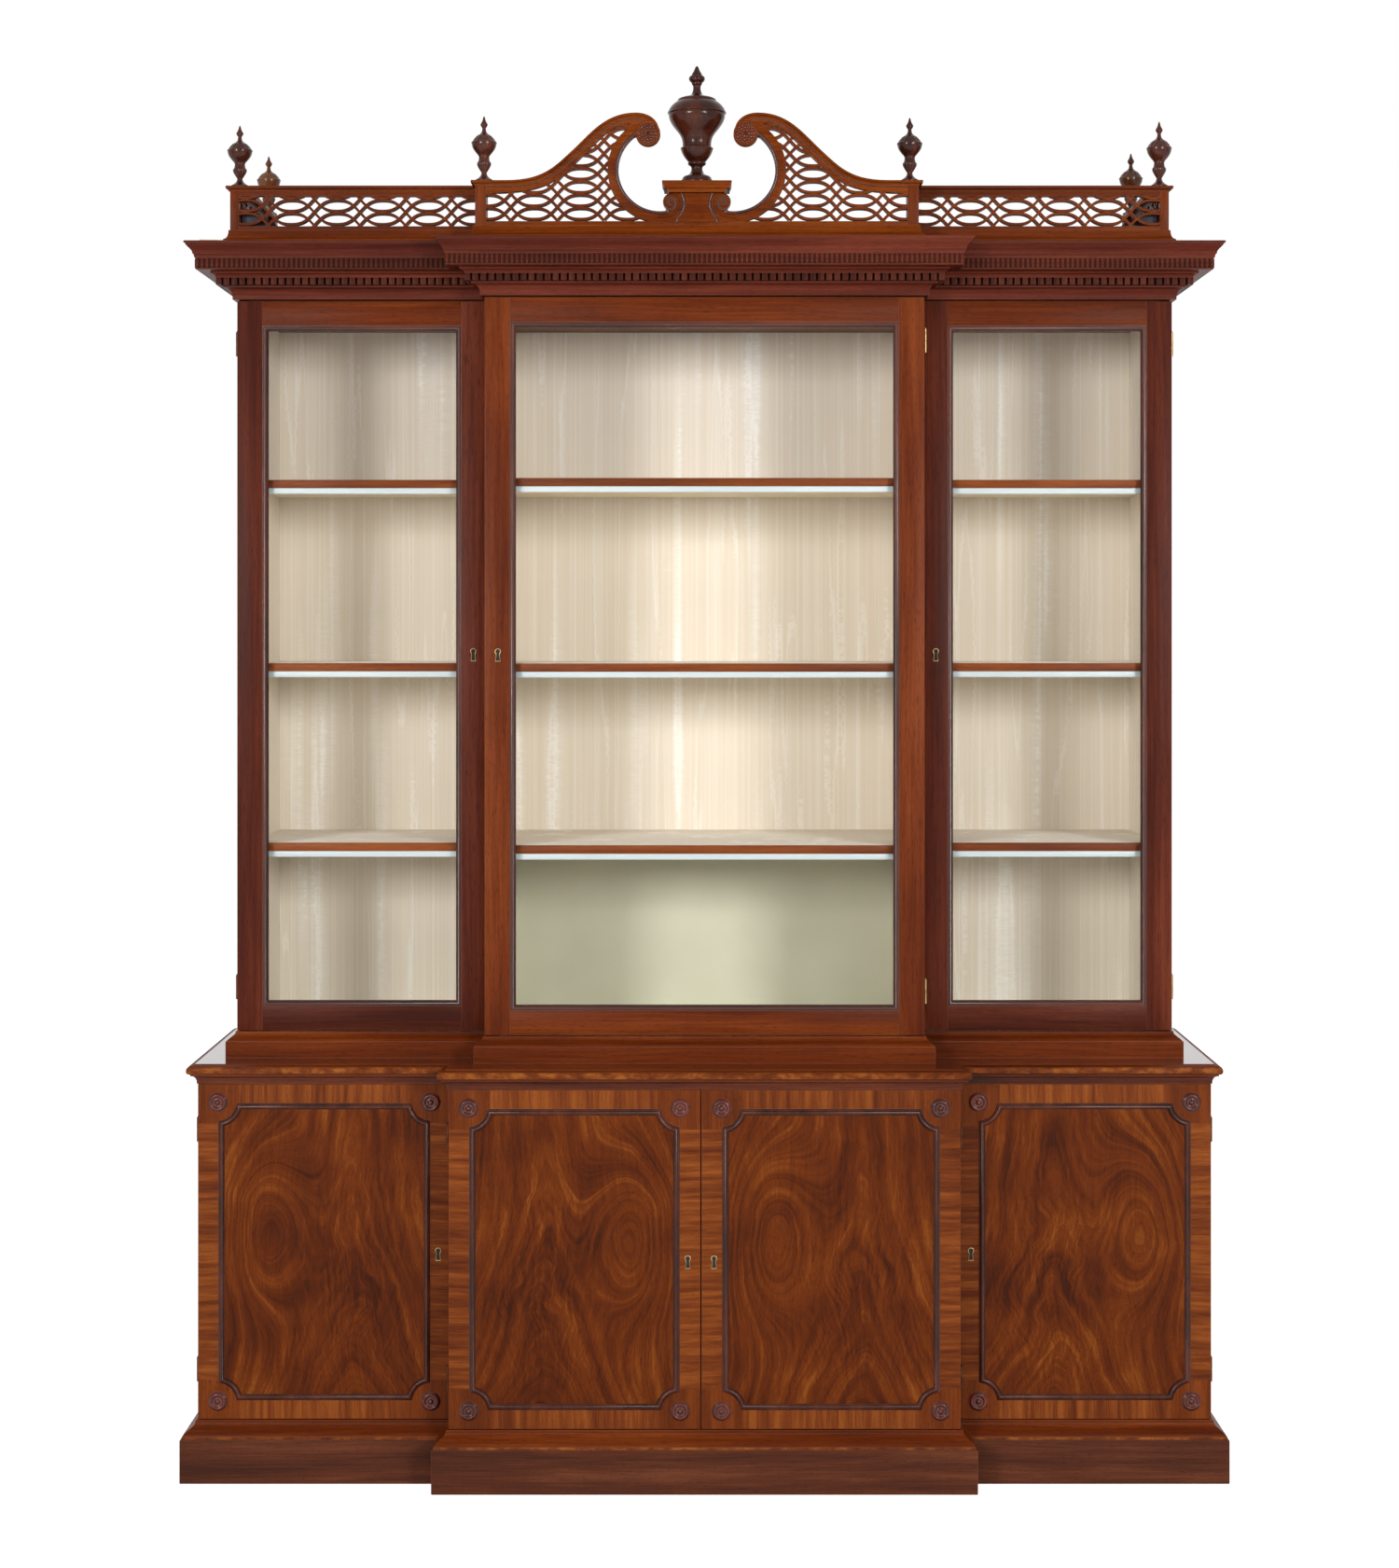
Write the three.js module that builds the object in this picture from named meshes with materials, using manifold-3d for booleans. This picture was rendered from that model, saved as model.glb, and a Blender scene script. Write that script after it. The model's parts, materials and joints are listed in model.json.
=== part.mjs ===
// Breakfront display cabinet in mahogany: a glazed bookcase on a cupboard base, with a fretted gallery.
// Millimetres. X runs to the right, Y to the back and Z up. The origin is on the floor, on the centre
// line of the carcase, halfway between the front of the plinth and the back.

import * as THREE from 'three';
import { mergeVertices } from 'three/addons/utils/BufferGeometryUtils.js';
import Module from 'manifold-3d';

const wasm = await Module();
wasm.setup();

// Sizes that the whole cabinet shares
const depth = 620;
const breakStep = 71;
const board = 22;
const backPanel = 12;
const touchGap = 0.3;
const cutOverrun = 5;
const slightest = 0.1;

// Plinth and the moulding on it
const plinth = { height: 85, projection: 30.5, rail: 46 };
const base = { height: 32, foot: 27, footFillet: 5, neck: 5, lip: 3, lipFillet: 5 };

// Cupboard carcase
const lower = { wing: 988, centre: 493.2, shelfAbove: 322, shelfSetback: 30, shelf: 20 };
const waist = { height: 19, start: 2, startFillet: 3, reach: 13, reachFillet: 3 };
const topBoard = { thickness: 20, foot: 12, reach: 20, roll: 6, edge: 3, arris: 6 };

// Bookcase carcase
const upper = { wingInset: 61.4, centreInset: 62.4, setback: 94 };
const surbase = { height: 50, reach: 20, fascia: 32, neck: 3, neckFillet: 3 };
const shelf = { thickness: 16, setback: 2, stripHeight: 12, stripDepth: 8, stripInset: 3 };
const shelfHeights = [371.5, 729.6, 1094.5];

// Doors: all of them lie on the front edges of the carcase
const door = { thickness: 22, backGap: 0.6, sideGap: 1.6 };
const lowerDoor = { height: 653, below: 1, above: 1, meeting: -7, lock: 321.5, lockInset: 24.5 };
const upperDoor = { height: 1445, below: 2, above: 3, stile: 61, rail: 58.6, lock: 744.5, lockInset: 26 };
const sash = {
  flat: 52.5, quirk: 1, quirkDepth: 2.5, bead: 57.5, beadDepth: 3, sightDepth: 7, rebate: 55, rebateDepth: 12,
};
const glass = { thickness: 3, clearance: 0.5 };
const hinge = { reach: 3.2, radius: 2.7, length: 48, web: 1.5, sunk: 1, upperInset: 83, lowerInset: 92 };
const escutcheon = { width: 12.5, height: 26, rim: 1.7, thickness: 1.2, waistShare: 0.34 };

// Panel moulding and turned roundels on the cupboard doors
const roundel = {
  insetX: 39, insetZ: 35, radius: 19, rim: 16.5, dish: 9, rimHeight: 6.5, dishHeight: 4, bossHeight: 8,
};
const panel = {
  offsetX: 7.3, offsetZ: 8, arc: 42, half: 6, crown: 2, edgeHeight: 3, crownHeight: 6.5, sunk: 0.5,
};

// Cornice: each projection is measured from the plane of the bookcase doors
const cornice = {
  foot: 8, footFillet: 5, ovolo: 22, ovoloTop: 22, neckTop: 26, bed: 24, groove: 14, dentilTop: 40,
  coveFoot: 36.5, coveTop: 47, cove: 44, bead: 46, beadTop: 52, corona: 70.7, coronaTop: 75,
  cavetto: 76, cavettoTop: 83, cyma: 88, cymaTop: 102, fillet: 90.5, height: 106, rail: 53, backRail: 22,
};
const dentil = { tooth: 11.5, gap: 4 };

// Gallery and pediment: they stand a little to the left of the carcase
const gallery = {
  shift: -10, overhang: 3.9, back: 12.4, board: 20, post: 17, backPost: 33,
  baseHeight: 32, baseReach: 18, baseFillet: 5, baseNeck: 12, baseNeckRise: 13, baseLip: 3, seat: 40,
  bottomRail: 8, zone: 60, topRail: 10, coping: 9.5, copingReach: 8, copingInner: 33,
};
const brace = { height: 50, length: 90, thickness: 8, setback: 26 };
const fret = { strip: 5, pitch: 90.6, row: 26.2, swell: 23.8, firstRow: 15, wingPhase: 447.4, least: 9 };
const pediment = {
  shift: -15, overhang: 3.7, post: 21.5, crest: 133, fretPhase: 136.5, fretPitch: 91.3,
  scrollX: 95.7, scrollZ: 211.7, scrollRadius: 24, eyeRadius: 19, eyeHeight: 4,
  archX: 72, archZ: 141, archRadius: 82, archBand: 21, tailX: 60, tailZ: 60.5,
  voluteX: 50, voluteZ: 78, voluteRadius: 16.5,
};
const pedestal = {
  half: 27, front: 4, depth: 44, neck: 95, capHalf: 68, capReach: 21, capFillet: 9, neckReach: 6,
};

// Turned work: heights and radii as shares of each turning's own height and greatest radius
const urn = { height: 231.4, radius: 57.5, sides: 14 };
const finial = { height: 123, radius: 23, sides: 8, inset: 16.6 };

// Heights and planes that follow from the sizes above
const back = depth / 2;
const backInner = back - backPanel;
const baseTop = plinth.height + base.height;
const lowerDoorBottom = baseTop + lowerDoor.below;
const waistBottom = lowerDoorBottom + lowerDoor.height + lowerDoor.above;
const topBoardBottom = waistBottom + waist.height;
const topBoardTop = topBoardBottom + topBoard.thickness;
const surbaseTop = topBoardTop + surbase.height;
const upperDoorBottom = surbaseTop + upperDoor.below;
const corniceBottom = upperDoorBottom + upperDoor.height + upperDoor.above;
const corniceTop = corniceBottom + cornice.height;
const galleryBaseTop = corniceTop + gallery.baseHeight;
const fretBottom = galleryBaseTop + gallery.bottomRail;
const fretTop = fretBottom + gallery.zone;
const copingBottom = fretTop + gallery.topRail;
const copingTop = copingBottom + gallery.coping;
const carcaseSetback = door.thickness + door.backGap;
lower.front = -depth / 2 + plinth.projection;
upper.front = lower.front + upper.setback;
upper.wing = lower.wing - upper.wingInset;
upper.centre = lower.centre - upper.centreInset;
gallery.half = upper.wing + gallery.overhang;
pediment.half = upper.centre + pediment.overhang;
lower.edge = lower.front + carcaseSetback;
upper.edge = upper.front + carcaseSetback;
const wingPlane = upper.front + breakStep;

const finish = {
  mahogany: new THREE.MeshStandardMaterial({ color: 0x6e3418, roughness: 0.38, metalness: 0 }),
  darkMahogany: new THREE.MeshStandardMaterial({ color: 0x4c2014, roughness: 0.36, metalness: 0 }),
  flame: new THREE.MeshStandardMaterial({ color: 0x7d3f1a, roughness: 0.34, metalness: 0 }),
  lining: new THREE.MeshStandardMaterial({ color: 0xd8cfb4, roughness: 0.8, metalness: 0 }),
  carcaseWood: new THREE.MeshStandardMaterial({ color: 0x7a4a2a, roughness: 0.7, metalness: 0 }),
  glass: new THREE.MeshStandardMaterial({
    color: 0xdfe8e4, roughness: 0.05, transparent: true, opacity: 0.35,
  }),
  brass: new THREE.MeshStandardMaterial({ color: 0xb08a45, roughness: 0.35, metalness: 1 }),
};

const cabinet = new THREE.Group();

function addMesh(name, geometry, material) {
  const mesh = new THREE.Mesh(geometry, material);
  mesh.name = name;
  cabinet.add(mesh);
  return mesh;
}

// A plain board is a box, placed by its mesh's position
function addBoard(name, material, [x0, x1], [y0, y1], [z0, z1]) {
  const mesh = addMesh(name, new THREE.BoxGeometry(x1 - x0, y1 - y0, z1 - z0), material);
  mesh.position.set((x0 + x1) / 2, (y0 + y1) / 2, (z0 + z1) / 2);
  return mesh;
}

// Solids that are joined or cut go through manifold-3d
function solidOf(geometry) {
  const plain = geometry.clone();
  plain.deleteAttribute('normal');
  plain.deleteAttribute('uv');
  const merged = mergeVertices(plain);
  const vertProperties = new Float32Array(merged.attributes.position.array);
  const triVerts = new Uint32Array(merged.index.array);
  return new wasm.Manifold(new wasm.Mesh({ numProp: 3, vertProperties, triVerts }));
}

function geometryOf(solid) {
  const mesh = solid.getMesh();
  const geometry = new THREE.BufferGeometry();
  geometry.setAttribute('position', new THREE.BufferAttribute(Float32Array.from(mesh.vertProperties), 3));
  geometry.setIndex(new THREE.BufferAttribute(Uint32Array.from(mesh.triVerts), 1));
  return geometry;
}

function joined(solids) {
  return solids.reduce((whole, solid) => whole.add(solid));
}

function boxSolid([x0, x1], [y0, y1], [z0, z1]) {
  const box = new THREE.BoxGeometry(x1 - x0, y1 - y0, z1 - z0);
  box.translate((x0 + x1) / 2, (y0 + y1) / 2, (z0 + z1) / 2);
  return solidOf(box);
}

// A flat outline in X and Z, made solid between two depths
function plateSolid(outline, front, rear) {
  const shape = new THREE.Shape(outline.map(([x, z]) => new THREE.Vector2(x, z)));
  const plate = new THREE.ExtrudeGeometry(shape, { depth: rear - front, bevelEnabled: false });
  plate.rotateX(Math.PI / 2);
  plate.translate(0, rear, 0);
  return solidOf(plate);
}

// A disc whose axis runs front to back
function discSolid(x, z, radius, front, rear, sides) {
  const disc = new THREE.CylinderGeometry(radius, radius, rear - front, sides);
  disc.translate(x, (front + rear) / 2, z);
  return solidOf(disc);
}

// Triangles of a flat ring of points, wound the way that the ring runs
function capOf(ring) {
  const normal = new THREE.Vector3();
  ring.forEach(([x, y, z], at) => {
    const [nextX, nextY, nextZ] = ring[(at + 1) % ring.length];
    normal.x += (y - nextY) * (z + nextZ);
    normal.y += (z - nextZ) * (x + nextX);
    normal.z += (x - nextX) * (y + nextY);
  });
  const size = [normal.x, normal.y, normal.z].map(Math.abs);
  const dropped = size.indexOf(Math.max(...size));
  const flat = ring.map((point) => new THREE.Vector2(...point.filter((value, axis) => axis !== dropped)));
  const turn = Math.sign(THREE.ShapeUtils.area(flat));
  return THREE.ShapeUtils.triangulateShape(flat, []).map(([a, b, c]) => {
    const same = Math.sign(THREE.ShapeUtils.area([flat[a], flat[b], flat[c]])) === turn;
    return same ? [a, b, c] : [a, c, b];
  });
}

// A skin stretched over rings of points that follow one another, capped or closed on itself
function skin(rings, closed = false) {
  const count = rings[0].length;
  const steps = closed ? rings.length : rings.length - 1;
  const index = [];
  for (let ring = 0; ring < steps; ring += 1) {
    const near = ring * count;
    const far = ((ring + 1) % rings.length) * count;
    for (let point = 0; point < count; point += 1) {
      const after = (point + 1) % count;
      index.push(near + point, near + after, far + after);
      index.push(near + point, far + after, far + point);
    }
  }
  if (!closed) {
    const last = (rings.length - 1) * count;
    capOf(rings[0]).forEach(([a, b, c]) => index.push(a, c, b));
    capOf(rings[rings.length - 1]).forEach(([a, b, c]) => index.push(last + a, last + b, last + c));
  }
  const position = rings.flat(2);
  const corner = (at) => new THREE.Vector3().fromArray(position, index[at] * 3);
  let volume = 0;
  for (let at = 0; at < index.length; at += 3) {
    volume += corner(at).dot(corner(at + 1).cross(corner(at + 2)));
  }
  if (volume < 0) index.reverse();
  const geometry = new THREE.BufferGeometry();
  geometry.setAttribute('position', new THREE.Float32BufferAttribute(position, 3));
  geometry.setIndex(index);
  return geometry;
}

// A bar of one section in Y and Z, run along X
function barGeometry(section, [x0, x1]) {
  return skin([x0, x1].map((x) => section.map(([y, z]) => [x, y, z])));
}

// A quarter round from one point of a profile to the next, leaving outwards or upwards
function quarter([p0, z0], [p1, z1], leaves, steps = 3) {
  return Array.from({ length: steps }, (_, step) => {
    const turn = ((step + 1) / steps) * (Math.PI / 2);
    const early = Math.sin(turn);
    const late = 1 - Math.cos(turn);
    const [along, rise] = leaves === 'out' ? [early, late] : [late, early];
    return [p0 + (p1 - p0) * along, z0 + (z1 - z0) * rise];
  });
}

// An S-shaped curve between two points of a profile
function ogee([p0, z0], [p1, z1], steps = 5) {
  return Array.from({ length: steps }, (_, step) => {
    const rise = (step + 1) / steps;
    const along = (1 - Math.cos(rise * Math.PI)) / 2;
    return [p0 + (p1 - p0) * along, z0 + (z1 - z0) * rise];
  });
}

// The breakfront outline at one projection from the doors' plane and one from the sides
function outline(section, frontReach, sideReach) {
  const wingX = section.wing + sideReach;
  const centreX = section.centre + sideReach;
  const centreY = section.front - frontReach;
  const wingY = centreY + breakStep;
  return [
    [-wingX, back], [-wingX, wingY], [-centreX, wingY], [-centreX, centreY],
    [centreX, centreY], [centreX, wingY], [wingX, wingY], [wingX, back],
  ];
}

// A solid slab with a moulded edge on the front and the sides, flat at the back
function mouldedSlab(section, profile) {
  return skin(profile.map(([reach, z]) => outline(section, reach, reach).map(([x, y]) => [x, y, z])));
}

// A moulding mitred round the front and the sides, which ends at the back
function mouldingRound(section, profile) {
  const levels = profile.map(([reach, z]) => {
    return outline(section, reach, Math.max(reach, 0)).map(([x, y]) => [x, y, z]);
  });
  return skin(levels[0].map((_, corner) => levels.map((level) => level[corner])));
}

// A flat board with the breakfront outline, between the sides
function floorBoard(section, [z0, z1]) {
  const wingX = section.wing - board;
  const wingY = section.edge + breakStep;
  const plan = [
    [-wingX, backInner], [-wingX, wingY], [-section.centre, wingY], [-section.centre, section.edge],
    [section.centre, section.edge], [section.centre, wingY], [wingX, wingY], [wingX, backInner],
  ];
  return skin([z0, z1].map((z) => plan.map(([x, y]) => [x, y, z])));
}

// A turning about a vertical axis from pairs of radius and height, both as shares
function turning(shares, { height, radius, sides }) {
  const points = shares.map(([across, up]) => new THREE.Vector2(across * radius, up * height));
  const turned = new THREE.LatheGeometry(points, sides);
  turned.rotateX(Math.PI / 2);
  return turned;
}

// Plinth, with the moulding that hides the joint with the cupboards
function addPlinth() {
  const outer = mouldedSlab(lower, [[plinth.projection, 0], [plinth.projection, plinth.height]]);
  const inner = outline(lower, plinth.projection - plinth.rail, plinth.projection - plinth.rail);
  const innerBack = back - board;
  const well = inner.map(([x, y]) => [x, y === back ? innerBack : y]);
  const cut = skin([-cutOverrun, plinth.height + cutOverrun].map((z) => well.map(([x, y]) => [x, y, z])));
  addMesh('plinth', geometryOf(solidOf(outer).subtract(solidOf(cut))), finish.mahogany);
  const bottom = plinth.height;
  const ogeeFoot = [base.foot, bottom + base.footFillet];
  const ogeeTop = [base.neck, baseTop - base.lipFillet];
  const profile = [
    [-carcaseSetback, bottom], [base.foot, bottom], ogeeFoot, ...ogee(ogeeFoot, ogeeTop),
    [base.lip, baseTop - base.lipFillet], [base.lip, baseTop], [-carcaseSetback, baseTop],
  ];
  addMesh('base_moulding', mouldingRound(lower, profile), finish.mahogany);
}

// Two halves of each butt hinge: one belongs to the carcase and one to the door that hangs on it
function hingeHalf(side, faceX, axisY, centreZ, part) {
  const axisX = faceX + side * hinge.reach;
  const [z0, z1] = part === 'door' ? [0, hinge.length / 2] : [-hinge.length / 2, -touchGap];
  const knuckle = new THREE.CylinderGeometry(hinge.radius, hinge.radius, z1 - z0, 6);
  knuckle.rotateX(Math.PI / 2);
  knuckle.translate(axisX, axisY, centreZ + (z0 + z1) / 2);
  const rootX = faceX - side * hinge.sunk;
  const plateX = [Math.min(rootX, axisX), Math.max(rootX, axisX)];
  const halfGap = door.backGap / 2;
  const plateY = part === 'door' ? [-halfGap - hinge.web, -halfGap] : [halfGap, halfGap + hinge.web];
  const plate = boxSolid(plateX, plateY.map((y) => axisY + y), [centreZ + z0, centreZ + z1]);
  return solidOf(knuckle).add(plate);
}

function hingesFor(leaf, part) {
  return leaf.hingeHeights.map((z) => hingeHalf(leaf.side, leaf.hingeFace, leaf.hingeY, z, part));
}

// Where each door lies and which way it is hung: side -1 hangs on its left edge, 1 on its right
function leafPlan(section, sizes, bottom, hingeInset, [x0, x1], side, step) {
  const front = section.front + step;
  return {
    x: [x0, x1],
    z: [bottom, bottom + sizes.height],
    front,
    side,
    hingeFace: side < 0 ? x0 : x1,
    hingeY: front + door.thickness + door.backGap / 2,
    hingeHeights: [bottom + hingeInset, bottom + sizes.height - hingeInset],
    lockX: side < 0 ? x1 - sizes.lockInset : x0 + sizes.lockInset,
    lockZ: bottom + sizes.lock,
  };
}

const lowerWingInner = lower.centre + door.sideGap;
const upperWingInner = upper.centre + door.sideGap;
const meetingLeft = lowerDoor.meeting - door.sideGap / 2;
const meetingRight = lowerDoor.meeting + door.sideGap / 2;
const lowerLeaf = (span, side, step) => {
  return leafPlan(lower, lowerDoor, lowerDoorBottom, hinge.lowerInset, span, side, step);
};
const upperLeaf = (span, side, step) => {
  return leafPlan(upper, upperDoor, upperDoorBottom, hinge.upperInset, span, side, step);
};
const leaves = {
  lowerWingLeft: lowerLeaf([-lower.wing, -lowerWingInner], -1, breakStep),
  lowerCentreLeft: lowerLeaf([-lower.centre, meetingLeft], -1, 0),
  lowerCentreRight: lowerLeaf([meetingRight, lower.centre], 1, 0),
  lowerWingRight: lowerLeaf([lowerWingInner, lower.wing], 1, breakStep),
  upperWingLeft: upperLeaf([-upper.wing, -upperWingInner], -1, breakStep),
  upperCentre: upperLeaf([-upper.centre, upper.centre], 1, 0),
  upperWingRight: upperLeaf([upperWingInner, upper.wing], 1, breakStep),
};

// A side or partition, with the carcase halves of the hinges that it carries
function addUpright(name, x, frontY, rearY, z, leaf) {
  const upright = boxSolid(x, [frontY, rearY], z);
  const hinges = leaf ? hingesFor(leaf, 'carcase') : [];
  addMesh(name, geometryOf(joined([upright, ...hinges])), finish.mahogany);
}

function addLowerCarcase() {
  const wingEdge = lower.edge + breakStep;
  const outer = [lower.wing - board, lower.wing];
  const inner = [lower.centre - board, lower.centre];
  const mirrored = ([x0, x1]) => [-x1, -x0];
  const sideZ = [plinth.height, topBoardBottom];
  const partitionZ = [baseTop, topBoardBottom];
  addUpright('lower_side_left', mirrored(outer), wingEdge, back, sideZ, leaves.lowerWingLeft);
  addUpright('lower_side_right', outer, wingEdge, back, sideZ, leaves.lowerWingRight);
  const partitions = [
    ['lower_partition_left', mirrored(inner), leaves.lowerCentreLeft],
    ['lower_partition_right', inner, leaves.lowerCentreRight],
  ];
  partitions.forEach(([name, x, leaf]) => addUpright(name, x, lower.edge, backInner, partitionZ, leaf));
  addMesh('lower_bottom', floorBoard(lower, [plinth.height, baseTop]), finish.carcaseWood);
  addBoard('lower_back', finish.carcaseWood, [-outer[0], outer[0]], [backInner, back], sideZ);
  const shelfZ = [baseTop + lower.shelfAbove - lower.shelf, baseTop + lower.shelfAbove];
  const wingShelfY = [wingEdge + lower.shelfSetback, backInner];
  const centreShelfY = [lower.edge + lower.shelfSetback, backInner];
  addBoard('lower_shelf_left', finish.carcaseWood, [-outer[0], -inner[1]], wingShelfY, shelfZ);
  addBoard('lower_shelf_centre', finish.carcaseWood, [-inner[0], inner[0]], centreShelfY, shelfZ);
  addBoard('lower_shelf_right', finish.carcaseWood, [inner[1], outer[0]], wingShelfY, shelfZ);

  const waistStart = [waist.start, waistBottom + waist.startFillet];
  const waistEnd = [waist.reach, topBoardBottom - waist.reachFillet];
  const waistProfile = [
    [-carcaseSetback, waistBottom], [waist.start, waistBottom], waistStart,
    ...quarter(waistStart, waistEnd, 'up'), [waist.reach, topBoardBottom], [-carcaseSetback, topBoardBottom],
  ];
  addMesh('waist_moulding', mouldingRound(lower, waistProfile), finish.darkMahogany);

  const rollStart = [topBoard.foot, topBoardBottom];
  const rollEnd = [topBoard.reach, topBoardBottom + topBoard.roll];
  const edgeTop = [topBoard.reach, topBoardBottom + topBoard.roll + topBoard.edge];
  const topProfile = [
    rollStart, ...quarter(rollStart, rollEnd, 'out', 2), edgeTop,
    ...quarter(edgeTop, [topBoard.arris, topBoardTop], 'up'),
  ];
  addMesh('lower_top_board', mouldedSlab(lower, topProfile), finish.mahogany);
}

function addUpperCarcase() {
  const wingEdge = upper.edge + breakStep;
  const outer = [upper.wing - board, upper.wing];
  const inner = [upper.centre - board, upper.centre];
  const mirrored = ([x0, x1]) => [-x1, -x0];
  const sideZ = [topBoardTop, corniceBottom];
  const partitionZ = [surbaseTop, corniceBottom - board];
  addUpright('upper_side_left', mirrored(outer), wingEdge, back, sideZ, leaves.upperWingLeft);
  addUpright('upper_side_right', outer, wingEdge, back, sideZ, leaves.upperWingRight);
  addUpright('upper_partition_left', mirrored(inner), upper.edge, backInner, partitionZ);
  addUpright('upper_partition_right', inner, upper.edge, backInner, partitionZ, leaves.upperCentre);
  addMesh('upper_bottom', floorBoard(upper, [surbaseTop - board, surbaseTop]), finish.lining);
  addMesh('upper_top', floorBoard(upper, [corniceBottom - board, corniceBottom]), finish.mahogany);
  addBoard('upper_back', finish.lining, [-outer[0], outer[0]], [backInner, back], sideZ);

  const neck = [surbase.neck, surbaseTop - surbase.neckFillet];
  const fasciaTop = [surbase.reach, topBoardTop + surbase.fascia];
  const profile = [
    [-carcaseSetback, topBoardTop], [surbase.reach, topBoardTop], fasciaTop, ...ogee(fasciaTop, neck),
    [surbase.neck, surbaseTop], [-carcaseSetback, surbaseTop],
  ];
  addMesh('surbase_moulding', mouldingRound(upper, profile), finish.mahogany);

  const bays = [
    ['left', [-outer[0], -inner[1]], wingEdge],
    ['centre', [-inner[0], inner[0]], upper.edge],
    ['right', [inner[1], outer[0]], wingEdge],
  ];
  bays.forEach(([bay, x, edge]) => shelfHeights.forEach((height, level) => {
    const top = surbaseTop + height;
    const under = top - shelf.thickness;
    const front = edge + shelf.setback;
    const stripFront = front + shelf.stripInset;
    const stripRear = stripFront + shelf.stripDepth;
    const section = [
      [front, top], [front, under], [stripFront, under], [stripFront, under - shelf.stripHeight],
      [stripRear, under - shelf.stripHeight], [stripRear, under], [backInner, under], [backInner, top],
    ];
    addMesh(`upper_shelf_${bay}_${level + 1}`, barGeometry(section, x), finish.mahogany);
  }));
}

// Cornice: a mitred frame with its mouldings, open in the middle and railed at the back
function addCornice() {
  const at = (height) => corniceBottom + height;
  const ovoloFoot = [cornice.foot, at(cornice.footFillet)];
  const coveFoot = [cornice.coveFoot, at(cornice.dentilTop)];
  const cavettoFoot = [cornice.corona, at(cornice.coronaTop)];
  const cymaFoot = [cornice.cavetto, at(cornice.cavettoTop)];
  const profile = [
    [cornice.foot, at(0)], ovoloFoot,
    ...quarter(ovoloFoot, [cornice.ovolo, at(cornice.ovoloTop)], 'up'),
    [cornice.bed, at(cornice.ovoloTop)], [cornice.bed, at(cornice.neckTop)],
    [cornice.groove, at(cornice.neckTop)], [cornice.groove, at(cornice.dentilTop)], coveFoot,
    ...quarter(coveFoot, [cornice.cove, at(cornice.coveTop)], 'up', 2),
    [cornice.bead, at(cornice.coveTop)], [cornice.bead, at(cornice.beadTop)],
    [cornice.corona, at(cornice.beadTop)], cavettoFoot,
    ...quarter(cavettoFoot, cymaFoot, 'up', 2),
    ...ogee(cymaFoot, [cornice.cyma, at(cornice.cymaTop)], 4),
    [cornice.fillet, at(cornice.cymaTop)], [cornice.fillet, corniceTop],
  ];
  const well = outline(upper, -cornice.rail, -cornice.rail);
  const railed = well.map(([x, y]) => [x, y === back ? back - cornice.backRail : y]);
  const span = [at(-cutOverrun), at(cornice.height + cutOverrun)];
  const cut = skin(span.map((z) => railed.map(([x, y]) => [x, y, z])));
  const frame = solidOf(mouldedSlab(upper, profile)).subtract(solidOf(cut));
  addMesh('cornice', geometryOf(frame), finish.darkMahogany);
}

// Dentil course: a strip let into the cornice, with a tooth at each end of each straight run
function addDentils() {
  const [z0, z1] = [corniceBottom + cornice.neckTop, corniceBottom + cornice.dentilTop];
  const faces = outline(upper, cornice.coveFoot, cornice.coveFoot);
  const drop = cornice.coveFoot - cornice.bed;
  const cornerTooth = drop + dentil.gap / 2;
  const gaps = faces.slice(0, -1).flatMap(([x0, y0], run) => {
    const [x1, y1] = faces[run + 1];
    const length = Math.hypot(x1 - x0, y1 - y0);
    const [along, across] = [(x1 - x0) / length, (y1 - y0) / length];
    const free = length - 2 * cornerTooth - dentil.gap;
    const teeth = Math.max(Math.round(free / (dentil.tooth + dentil.gap)), 1);
    const pitch = free / teeth;
    return Array.from({ length: teeth + 1 }, (_, gap) => {
      const middle = cornerTooth + dentil.gap / 2 + gap * pitch;
      const into = (drop - cutOverrun) / 2;
      const centreX = x0 + along * middle - across * into;
      const centreY = y0 + across * middle + along * into;
      const halfX = (Math.abs(along) * dentil.gap + Math.abs(across) * (drop + cutOverrun)) / 2;
      const halfY = (Math.abs(across) * dentil.gap + Math.abs(along) * (drop + cutOverrun)) / 2;
      return boxSolid(
        [centreX - halfX, centreX + halfX], [centreY - halfY, centreY + halfY],
        [z0 - cutOverrun, z1 + cutOverrun],
      );
    });
  });
  const strip = mouldingRound(upper, [
    [cornice.groove, z0], [cornice.coveFoot, z0], [cornice.coveFoot, z1], [cornice.groove, z1],
  ]);
  const course = solidOf(strip).subtract(wasm.Manifold.union(gaps));
  addMesh('dentil_course', geometryOf(course), finish.darkMahogany);
}

// The height of the fret's wave at a share of its pitch: full at the middle of a lens, nothing halfway on
const waveShares = { first: 1.35, third: -0.35 };
function wave(share) {
  const c = Math.cos(Math.PI * share);
  return fret.swell * (waveShares.first * c + waveShares.third * c ** 3);
}

// The share of the pitch at which two waves from neighbouring rows cross
function crossingShare() {
  let [low, high] = [0, 1 / 2];
  for (let step = 0; step < 30; step += 1) {
    const middle = (low + high) / 2;
    if (wave(middle) > fret.row / 2) low = middle;
    else high = middle;
  }
  return low;
}

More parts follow.
